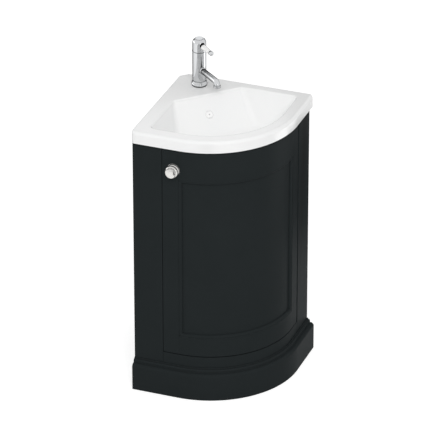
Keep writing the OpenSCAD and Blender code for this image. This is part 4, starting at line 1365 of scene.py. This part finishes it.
    def duct(self, name: str, r: float) -> list[Workpiece]:
        """The overflow's two runs.

        Args:
            name: start of the rods' names.
            r: their radius.

        Returns:
            The rod that slopes down behind the wall, and the one that runs to the waste.
        """
        lean = math.radians(self.rear_lean)
        s0 = self.overflow_reach() - self.duct_in * math.cos(lean)
        z0 = RIM - self.overflow_drop - self.duct_in * math.sin(lean)
        low = BOWL_FLOOR - self.duct_low
        start = s0 + (z0 - low) * math.tan(lean) - r - 1.0
        diagonal = Matrix.Rotation(math.pi / 4, 4, "Z")
        slope = diagonal @ at(s0, 0.0, z0) @ Matrix.Rotation(math.pi - lean, 4, "Y") @ at(0.0, 0.0, -r)
        run = diagonal @ at(start, 0.0, low) @ Matrix.Rotation(QUARTER, 4, "Y")
        return [Workpiece(name + "_slope").rod(r - 0.6, slope, (z0 - low) / math.cos(lean) + r),
                Workpiece(name + "_run").rod(r, run, WASTE_AXIS * math.sqrt(2) - start - 0.5)]

    def build(self) -> None:
        """Makes the basin with its overflow, and the ring in it."""
        basin = self.body()
        for rod in self.duct("duct_wall", self.duct_wall):
            basin.work(rod, Joinery.ADD)
        for rod in self.duct("duct_bore", self.duct_bore):
            basin.work(rod, Joinery.CUT)
        place = self.overflow_place()
        behind, sunk = place @ at(0.0, 0.0, -self.duct_in), place @ at(0.0, 0.0, -self.ring_sunk)
        basin.bore("overflow_bore", self.overflow_bore, behind, self.duct_in + PAST)
        basin.bore("ring_seat", self.ring_seat, sunk, 6.0)
        under = at(WASTE_AXIS, WASTE_AXIS, BOWL_FLOOR - 30.0)
        basin.bore("waste_hole", self.waste_bore, under, 26.9)
        basin.settle(self.shop, "cabinet", "basin", GLAZE, sharp=40.0)
        # A dished face with a groove round it and a small hole through it.
        section = [(1.6, -6.0), (9.3, -6.0), (9.3, 0.0), (12.0, 0.0)]
        section += arc(10.9, 1.0, 1.1, 0, 90, 6) + [(10.1, 2.1), (9.9, 1.1), (8.5, 1.1), (8.3, 2.0)]
        section += [(6.0, 2.4), (1.6, 2.6)]
        ring = Workpiece("overflow_trim").lathe(softened(section, 0.3), sunk, 72)
        ring.settle(self.shop, "cabinet", "overflow_ring", TRIM)


@dataclass
class Waste(Assembly):
    """Click waste: flanged body with an open seat, and domed plug.

    Attributes:
        flange, tube, bore: radii of the flange, the tail and the hole through it.
        end, edge: height of the tail's end, and thickness of the flange's edge.
        groove, groove_deep, groove_wide: the sealing groove's height over the end, depth and width.
        slot_low, slot_high: corners of the slots through the tube.
        seat, crown: height of the plug's underside, and how far its dome rises over it.
        dome: radius of the dome.
    """

    flange: float = 31.5
    tube: float = 20.95
    bore: float = 17.0
    end: float = 668.0
    edge: float = 3.0
    groove: float = 38.0
    groove_deep: float = 1.2
    groove_wide: float = 3.0
    slot_low: Triple = (-22.0, -9.0, 738.4)
    slot_high: Triple = (22.0, 9.0, 748.4)
    seat: float = 764.3
    crown: float = 5.6
    dome: float = 110.0

    def build(self) -> None:
        """Turns the body, cuts its slots, and turns the plug."""
        place = at(WASTE_AXIS, WASTE_AXIS, 0.0)
        r, top, groove, deep = self.tube, BOWL_FLOOR, self.end + self.groove, self.tube - self.groove_deep
        section = [(self.bore, self.end), (r - 1.5, self.end), (r, self.end + 1.5),
                   (r, groove), (deep, groove), (deep, groove + self.groove_wide),
                   (r, groove + self.groove_wide), (r, top - self.edge),
                   (self.flange, top - self.edge), (self.flange, top),
                   (self.flange - 5.0, top), (self.bore, top - 2.0)]
        body = Workpiece("waste_flange").lathe(softened(section, 0.5), place)
        for turn in (math.pi / 4, 3 * math.pi / 4):
            slot = Workpiece("slot").block(self.slot_low, self.slot_high)
            bmesh.ops.transform(slot.bm, matrix=place @ Matrix.Rotation(turn, 4, "Z"),
                                verts=slot.bm.verts)
            body.work(slot, Joinery.CUT)
        body.settle(self.shop, "cabinet", "waste_body", CHROME)
        z = self.seat
        section = [(0.0, z), (19.5, z), (19.5, z + 1.2), (23.0, z + 1.2), (23.0, z), (29.0, z),
                   (29.0, z + 2.4), (26.6, z + 2.4)] + dome(z + self.crown, self.dome, range(26, -1, -2))
        plug = Workpiece("domed_plug").lathe(softened(section, 0.5, closed=False), place, closed=False)
        plug.settle(self.shop, "plug", "plug_cap", CHROME)


# ---------------------------------------------------------------- tap


@dataclass
class MixerTap(Assembly):
    """Single-lever mixer: stepped base, column, spout, turning head and porcelain lever.

    Heights are over the deck, and the sections in its methods are (radius, height) pairs.

    Attributes:
        column, seam: the column's radius, and the height of its top.
        inlet, inlets: radius of the two hose ports, and where they stand round the axis.
        stud, stud_back: radius of the stud's hole, and how far it lies behind the axis.
        port: radius of the way into the spout.
        head, shoulder, rounding: the head's radius, and where it starts to round in and how.
        top: height of the whole tap.
        aim, reach: the spout's direction in degrees, and how far its outlet lies out.
        spout_z, spout, way, bend: height, radius, bore and bend of the spout.
        collar: how far the ring at the spout's root stands out.
        lever_z, lever_end: height of the lever, and how far it reaches out.
        sleeve: where the porcelain starts, out from the tap's axis.
        finial, ball: the finial's length, and the radius of its ball.
        swell: radius of the porcelain's swelling along its length.
    """

    column: float = 20.7
    seam: float = 113.0
    inlet: float = 5.0
    inlets: tuple[tuple[float, float], ...] = ((-8.0, 4.0), (8.0, 4.0))
    stud: float = 4.0
    stud_back: float = 9.0
    port: float = 7.1
    head: float = 20.6
    shoulder: float = 140.5
    rounding: float = 14.0
    top: float = 155.0
    aim: float = 40.0
    reach: float = 108.0
    spout_z: float = 54.5
    spout: float = 9.0
    way: float = 5.6
    bend: float = 11.0
    collar: float = 1.6
    lever_z: float = 134.0
    lever_end: float = 80.0
    sleeve: float = 25.0
    finial: float = 15.0
    ball: float = 6.9
    swell: float = 209.0

    def place(self, z: float = 0.0) -> Matrix:
        """Upright place above the deck, on the tap's axis."""
        return at(*TAP_AXIS, RIM + z)

    def aimed(self, z: float = 0.0) -> Matrix:
        """The same, turned so that x points along the spout."""
        return self.place(z) @ Matrix.Rotation(math.radians(self.aim), 4, "Z")

    def along(self, z: float, x: float = 0.0) -> Matrix:
        """Place whose z axis runs outwards along the spout or the lever."""
        return self.aimed(z) @ at(x, 0.0, 0.0) @ Matrix.Rotation(QUARTER, 4, "Y")

    def base(self) -> None:
        """Turns the stepped base: rolled bead, then ovolo."""
        section = [(17.3, 1.5), (19.5, 1.5)] + arc(19.5, 6.0, 4.5, -90, 46, 16)
        section += [(23.0, 10.5)] + arc(19.7, 10.5, 2.6, 0, 68, 8) + [(20.5, 15.5), (17.3, 15.5)]
        base = Workpiece("stepped_base").lathe(softened(section, 0.35), self.place())
        base.settle(self.shop, "cabinet", "tap_base", CHROME)

    def pillar(self) -> None:
        """Turns the column with its shank, mixing chamber, inlets and port, and the seam's ring."""
        c, top, chamber = self.column, self.seam, 26.0
        section = [(0.0, -8.0), (17.0, -8.0), (17.0, 15.5), (c - 1.6, 15.5), (c - 1.6, 18.0),
                   (c - 1.2, 18.0)] + arc(c - 1.2, 19.2, 1.2, -90, 0, 5)[1:]
        section += arc(c - 0.8, top - 0.8, 0.8, 0, 90, 5) + [(15.0, top), (15.0, chamber), (0.0, chamber)]
        column = Workpiece("tap_pillar").lathe(section, self.place(), closed=False)
        below = self.place(-9)
        for x, y in self.inlets:
            column.bore("inlet", self.inlet, below @ at(x, y, 0.0), 38.0)
        column.bore("stud_hole", self.stud, below @ at(0.0, -self.stud_back, 0.0), 21.0)
        column.bore("port", self.port, self.along(self.spout_z), 30.0)
        column.settle(self.shop, "cabinet", "tap_column", CHROME)
        r, neck = c + 0.3, 16.42
        section = [(13.0, top), (r, top)] + arc(r, top + 0.5, 0.5, -70, 70, 6)
        section += [(r, top + 1), (neck, top + 1), (neck, top + 6.5), (13.0, top + 6.5)]
        seam = Workpiece("head_seam_ring").lathe(section, self.place())
        # The seam's ring is a real part; its near-black finish is painted shade for the groove at the seam.
        seam.settle(self.shop, "cabinet", "seam_ring", SEAM_SHADE)

    def hoop(self, radius: float, x: float, z: float, tilt: float) -> list[Vector]:
        """Ring round the spout's centre line.

        Args:
            radius: its radius.
            x, z: its centre, out from the tap's axis and up from the spout's root.
            tilt: its turn from level, in radians.

        Returns:
            Its points.
        """
        turn = self.aimed(self.spout_z) @ (at(x, 0.0, z) @ Matrix.Rotation(tilt, 4, "Y"))
        return [turn @ Vector((a, b, 0.0)) for a, b in all_round(0.0, 0.0, radius, 48)]

    def spout_tube(self, name: str, radius: float, start: float, tail: float) -> Workpiece:
        """Straight tube, quarter bend and tail, closed at both ends.

        Args:
            name: the piece's name.
            radius: the tube's radius.
            start: where it begins, out from the tap's axis.
            tail: how far it runs on below the bend.

        Returns:
            The tube.
        """
        piece = Workpiece(name)
        first = ring = piece.ring(self.hoop(radius, start, 0.0, QUARTER))
        for k in range(17):
            a = QUARTER * k / 16
            out, drop = self.reach - self.bend + self.bend * math.sin(a), self.bend * (1 - math.cos(a))
            ring = piece.grow(ring, self.hoop(radius, out, -drop, QUARTER + a))
        ring = piece.grow(ring, self.hoop(radius, self.reach, -self.bend - tail, math.pi))
        piece.cap(first)
        piece.cap(ring)
        return piece

    def nozzle(self) -> None:
        """Makes the spout, its root ring and the ring round its end."""
        r, out = self.spout, self.collar
        tube = self.spout_tube("bent_spout", r, 16.0, 3.0)
        root_place = self.along(self.spout_z, self.column - 4.0)
        root = [(0.0, 0.0), (r + out, 0.0), *arc(r, 6.0, out, 0, 90, 6), (0.0, 6.0 + out)]
        tube.work(Workpiece("spout_collar").lathe(root, root_place, 72, closed=False), Joinery.ADD)
        tube.bore("pillar_cope", self.column, self.place(20.0), 80.0, 96)
        tube.work(Workpiece("spigot").rod(7.0, root_place, 10.0), Joinery.ADD)
        tube.work(self.spout_tube("water_way", self.way, 10.0, 10.0), Joinery.CUT)
        tube.settle(self.shop, "cabinet", "spout", CHROME)
        section = [(r - 1.0, 0.0), (r + out, 0.0), (r + out, 7.0), (r + 0.2, 7.0), (r + 0.2, 4.0),
                   (r - 1.0, 4.0)]
        end = self.aimed(self.spout_z - self.bend - 7.0) @ at(self.reach, 0.0, 0.0)
        ring = Workpiece("nozzle_ring").lathe(softened(section, 0.8), end, 72)
        ring.settle(self.shop, "cabinet", "aerator_ring", CHROME)

    def turning_head(self) -> None:
        """Turns the head, cuts the lever's opening, and turns the cap."""
        h, sh, seat, low = self.head, self.shoulder, self.top - 2.4, self.seam + 1.3
        shoulder_end = math.degrees(math.asin((seat - sh) / self.rounding))
        section = [(16.5, low), (h, low)] + arc(h - self.rounding, sh, self.rounding, 0, shoulder_end, 16)
        section += [(3.0, seat), (3.0, seat - 7), (15.5, seat - 7), (15.5, 123.5), (5.0, 123.5),
                    (5.0, 121.0), (16.5, 121.0)]
        head = Workpiece("turning_head").lathe(softened(section, 0.3), self.place())
        head.bore("lever_opening", 8.7, self.along(self.lever_z + 3.6), 30.0)
        head.settle(self.shop, "head", "tap_head", CHROME)
        section = [(0.0, seat - 6.0), (2.9, seat - 6.0), (2.9, seat), (12.0, seat)]
        section += arc(10.6, seat + 1.0, 1.4, 0, 90, 6) + [(0.0, self.top)]
        cap = Workpiece("head_button").lathe(section, self.place(), closed=False)
        cap.settle(self.shop, "head", "head_cap", CHROME)

    def lever(self) -> None:
        """Makes the hub with its arm and ferrule, the porcelain sleeve and the finial."""
        z, start, finial = self.lever_z, self.sleeve, self.lever_end - self.finial
        drum_place = self.aimed(z) @ Matrix.Rotation(QUARTER, 4, "X") @ at(0.0, 0.0, -8.0)
        drum = softened([(0.0, 0.0), (8.0, 0.0), (8.0, 16.0), (0.0, 16.0)], 0.8, closed=False)
        hub = Workpiece("lever_arm").lathe(drum, drum_place, 64, closed=False)
        arm = [(0.0, 0.0), (4.2, 0.0), (4.2, start - 2.0)] + arc(6.6, start - 1.0, 1.0, -90, 0, 4)
        arm += [(7.6, start), (2.5, start), (2.5, self.lever_end - 8.0), (0.0, self.lever_end - 8.0)]
        hub.work(Workpiece("arm").lathe(arm, self.along(z), 64, closed=False), Joinery.ADD)
        hub.settle(self.shop, "lever", "lever_hub", CHROME)
        length, swell, widest = finial - start, self.swell, 4.0
        skin = [(8.8 - swell + math.sqrt(swell ** 2 - (k * length / 20 - widest) ** 2), k * length / 20)
                for k in range(1, 21)]
        sleeve = softened([(2.6, 0.0)] + arc(7.56, 1.2, 1.2, -90, -10, 6) + skin + [(2.6, length)], 0.6)
        porcelain = Workpiece("porcelain_sleeve").lathe(sleeve, self.along(z, start), 72)
        porcelain.settle(self.shop, "lever", "porcelain_lever", PORCELAIN)
        neck = math.degrees(math.asin(4.0 / self.ball))
        tip = [(0.0, 0.0), (6.2, 0.0)] + arc(6.2, 0.8, 0.8, -80, 80, 6) + [(6.2, 1.6), (4.0, 1.6)]
        tip += arc(0.0, self.finial - self.ball, self.ball, neck - 90.0, 90.0, 20)[:-1]
        tip += [(0.0, self.finial)]
        end = Workpiece("lever_tip").lathe(tip, self.along(z, finial), 64, closed=False)
        end.settle(self.shop, "lever", "lever_finial", CHROME)

    def build(self) -> None:
        """Makes the whole tap."""
        self.base()
        self.pillar()
        self.nozzle()
        self.turning_head()
        self.lever()


# ---------------------------------------------------------------- the rest of the solids


@dataclass
class CarriedSolids(Assembly):
    """CAD nodes that stay on show, by the finish they get."""

    board: tuple[str, ...] = ("left_panel", "back_panel", "corner_post", "floor_panel", "top_rail")
    brass: tuple[str, ...] = (
        "waste_nut", "plug_stem", "tap_stud", "stud_nut", "top_bush", "bottom_bush")
    steel: tuple[str, ...] = (
        "carcass_screws", "clamp_plate", "spindle", "lever_pin", "knob_screw", "strike_plate",
        "top_pivot_plate", "top_pivot_pin", "bottom_pivot_pin", "pivot_plate_screws",
        "catch_screws", "catch_magnet")
    rubber: tuple[str, ...] = (
        "waste_gasket", "plug_seal", "tap_gasket", "clamp_gasket", "door_bumpers")
    plastic: tuple[str, ...] = ("waste_guide", "cartridge", "aerator_screen", "catch_body")

    def build(self) -> None:
        """Gives each group its finish."""
        for nodes, finish in ((self.board, BOARD), (self.brass, BRASS), (self.steel, STEEL),
                              (self.rubber, RUBBER), (self.plastic, PLASTIC)):
            self.shop.carry(nodes, finish)


# ---------------------------------------------------------------- studio


def aim_at(made: bpy.types.Object, place: Triple, target: Triple) -> None:
    """Stands a lamp or the camera in its place, turned towards a target."""
    made.location = place
    made.rotation_euler = (Vector(target) - Vector(place)).to_track_quat("-Z", "Y").to_euler()


@dataclass
class Softbox:
    """The area lamp; polished surfaces mirror the cards and not the lamp.

    Attributes:
        place, target: where it hangs and what it is aimed at, in metres.
        size, power: its width and height in metres, and its watts.
    """

    place: Triple = (1.6, -3.9, 4.1)
    target: Triple = (0.0, 0.0, 0.7)
    size: tuple[float, float] = (2.4, 2.0)
    power: float = 112.0

    def build(self) -> None:
        """Hangs the lamp."""
        light = bpy.data.lights.new("front_softbox", "AREA")
        light.shape = "RECTANGLE"
        light.size, light.size_y = self.size
        light.energy = self.power
        lamp = linked(light.name, light)
        aim_at(lamp, self.place, self.target)
        lamp.visible_glossy = False


@dataclass
class Card:
    """Upright card that only polished surfaces see, facing the tap.

    Attributes:
        name: its name.
        stand: where it stands on the floor, in metres.
        size: its width and height in metres.
        glow: how bright it is.
        lift: height of its lower edge in metres.
        tap: the tap's place in metres.
    """

    name: str
    stand: tuple[float, float]
    size: tuple[float, float]
    glow: float
    lift: float
    tap: tuple[float, float] = (-0.137, 0.159)

    def build(self) -> None:
        """Stands the card at its height."""
        wide, high = self.size
        facing = Vector(self.tap) - Vector(self.stand)
        turn = Matrix.Rotation(math.atan2(facing.x, -facing.y), 4, "Z")
        upright = Matrix.Rotation(QUARTER, 4, "X") @ Matrix.Diagonal((wide, high, 1.0, 1.0))
        bm = bmesh.new()
        bmesh.ops.create_grid(bm, x_segments=1, y_segments=1, size=0.5)
        bmesh.ops.transform(bm, matrix=at(*self.stand, self.lift + high / 2) @ turn @ upright,
                            verts=bm.verts)
        card = mesh_object(self.name, bm)
        material = bpy.data.materials.new(self.name)
        material.use_nodes = True
        w = Wiring(material.node_tree)
        glow = w.add("Emission", in_Strength=self.glow)
        w.join(glow.outputs[0], material.node_tree.nodes["Material Output"].inputs["Surface"])
        card.data.materials.append(material)
        card.visible_camera = card.visible_diffuse = card.visible_shadow = False


@dataclass
class Studio:
    """Pale floor, even light and the camera at the photograph's angle.

    Attributes:
        eye, target: the camera's place and what it looks at, in metres.
        lens, sensor: its focal length and the width of its sensor, in millimetres.
        far: how far it sees, in metres.
        ambient: strength of the even light from all round.
        floor_glow: extra light that the floor shows to the camera and to polished surfaces.
        lamp: the one lamp.
        cards: what polished surfaces mirror.
    """

    eye: Triple = (3.63794, -9.71741, 6.08888)
    target: Triple = (-0.10961, 0.25859, 0.36644)
    lens: float = 322.64
    sensor: float = 36.0
    far: float = 200.0
    ambient: float = 0.6
    floor_glow: float = 0.55
    lamp: Softbox = field(default_factory=Softbox)
    cards: tuple[Card, ...] = field(default_factory=lambda: (
        Card("left_card", (-1.9, 0.1), (1.6, 0.7), 2.2, 0.85),
        Card("right_card", (0.86, 0.62), (0.8, 0.4), 3.0, 0.22),
        Card("back_card", (-0.61, 1.39), (0.6, 0.36), 1.6, 1.58),
        Card("front_card", (1.5, -1.9), (0.5, 0.5), 2.4, 1.2),
        Card("low_flag", (-0.87, 0.84), (1.1, 0.6), 0.05, 0.15),
        Card("rear_flag", (-0.94, 1.66), (2.6, 1.7), 0.12, 0.9),
        Card("side_flag", (0.42, 0.84), (0.9, 0.47), 0.03, 0.0),
        Card("front_flag", (0.3, -1.25), (0.4, 1.2), 0.03, 0.0),
    ))

    def camera(self) -> None:
        """Stands the camera where the photograph's was."""
        data = bpy.data.cameras.new("photo_camera")
        data.lens, data.sensor_width, data.clip_end = self.lens, self.sensor, self.far
        cam = linked(data.name, data)
        aim_at(cam, self.eye, self.target)
        bpy.context.scene.camera = cam

    def floor(self) -> None:
        """Lays the pale floor, just under the unit and white to the camera where no shadow falls."""
        bm = bmesh.new()
        bmesh.ops.create_grid(bm, x_segments=2, y_segments=2, size=30.0)
        floor = mesh_object("studio_floor", bm)
        floor.location.z = -0.0005
        material = bpy.data.materials.new("studio_white")
        material.use_nodes = True
        nodes = material.node_tree.nodes
        shader = nodes["Principled BSDF"]
        shader.inputs["Base Color"].default_value = (0.8, 0.8, 0.8, 1.0)
        shader.inputs["Roughness"].default_value = 0.9
        shader.inputs["Specular IOR Level"].default_value = 0.0
        w = Wiring(material.node_tree)
        glow, dark = w.add("Emission", in_Strength=self.floor_glow), w.add("Emission", in_Strength=0.0)
        both = w.add("AddShader")
        w.join(shader.outputs[0], both.inputs[0])
        w.join(w.when_seen(dark.outputs[0], glow.outputs[0]), both.inputs[1])
        w.join(both.outputs[0], nodes["Material Output"].inputs["Surface"])
        floor.data.materials.append(material)

    def world(self) -> None:
        """Even light from all round; white where the camera sees it."""
        world = bpy.data.worlds.new("studio_air")
        bpy.context.scene.world = world
        world.use_nodes = True
        w = Wiring(world.node_tree)
        nodes = world.node_tree.nodes
        base, white = nodes["Background"], w.add("Background")
        for light, strength in ((base, self.ambient), (white, 1.0)):
            light.inputs["Color"].default_value = (1.0, 1.0, 1.0, 1.0)
            light.inputs["Strength"].default_value = strength
        w.join(w.when_seen(base.outputs[0], white.outputs[0]), nodes["World Output"].inputs["Surface"])

    def build(self) -> None:
        """Sets up the whole studio."""
        bpy.context.scene.view_settings.view_transform = "Standard"
        self.camera()
        self.floor()
        self.world()
        for fitting in (self.lamp, *self.cards):
            fitting.build()


def main() -> None:
    """Builds the sub-assemblies in order, then the studio, and reports them."""
    logging.basicConfig(level=logging.INFO, format="%(name)s: %(message)s")
    shop = Workshop()
    for part in (Plinth, FaceFrame, FramedDoor, DoorKnob, CornerBasin, Waste, MixerTap, CarriedSolids):
        part(shop).build()
    Studio().build()
    log.info("%d pieces shown", len(shop.pieces))


if __name__ == "__main__":
    main()
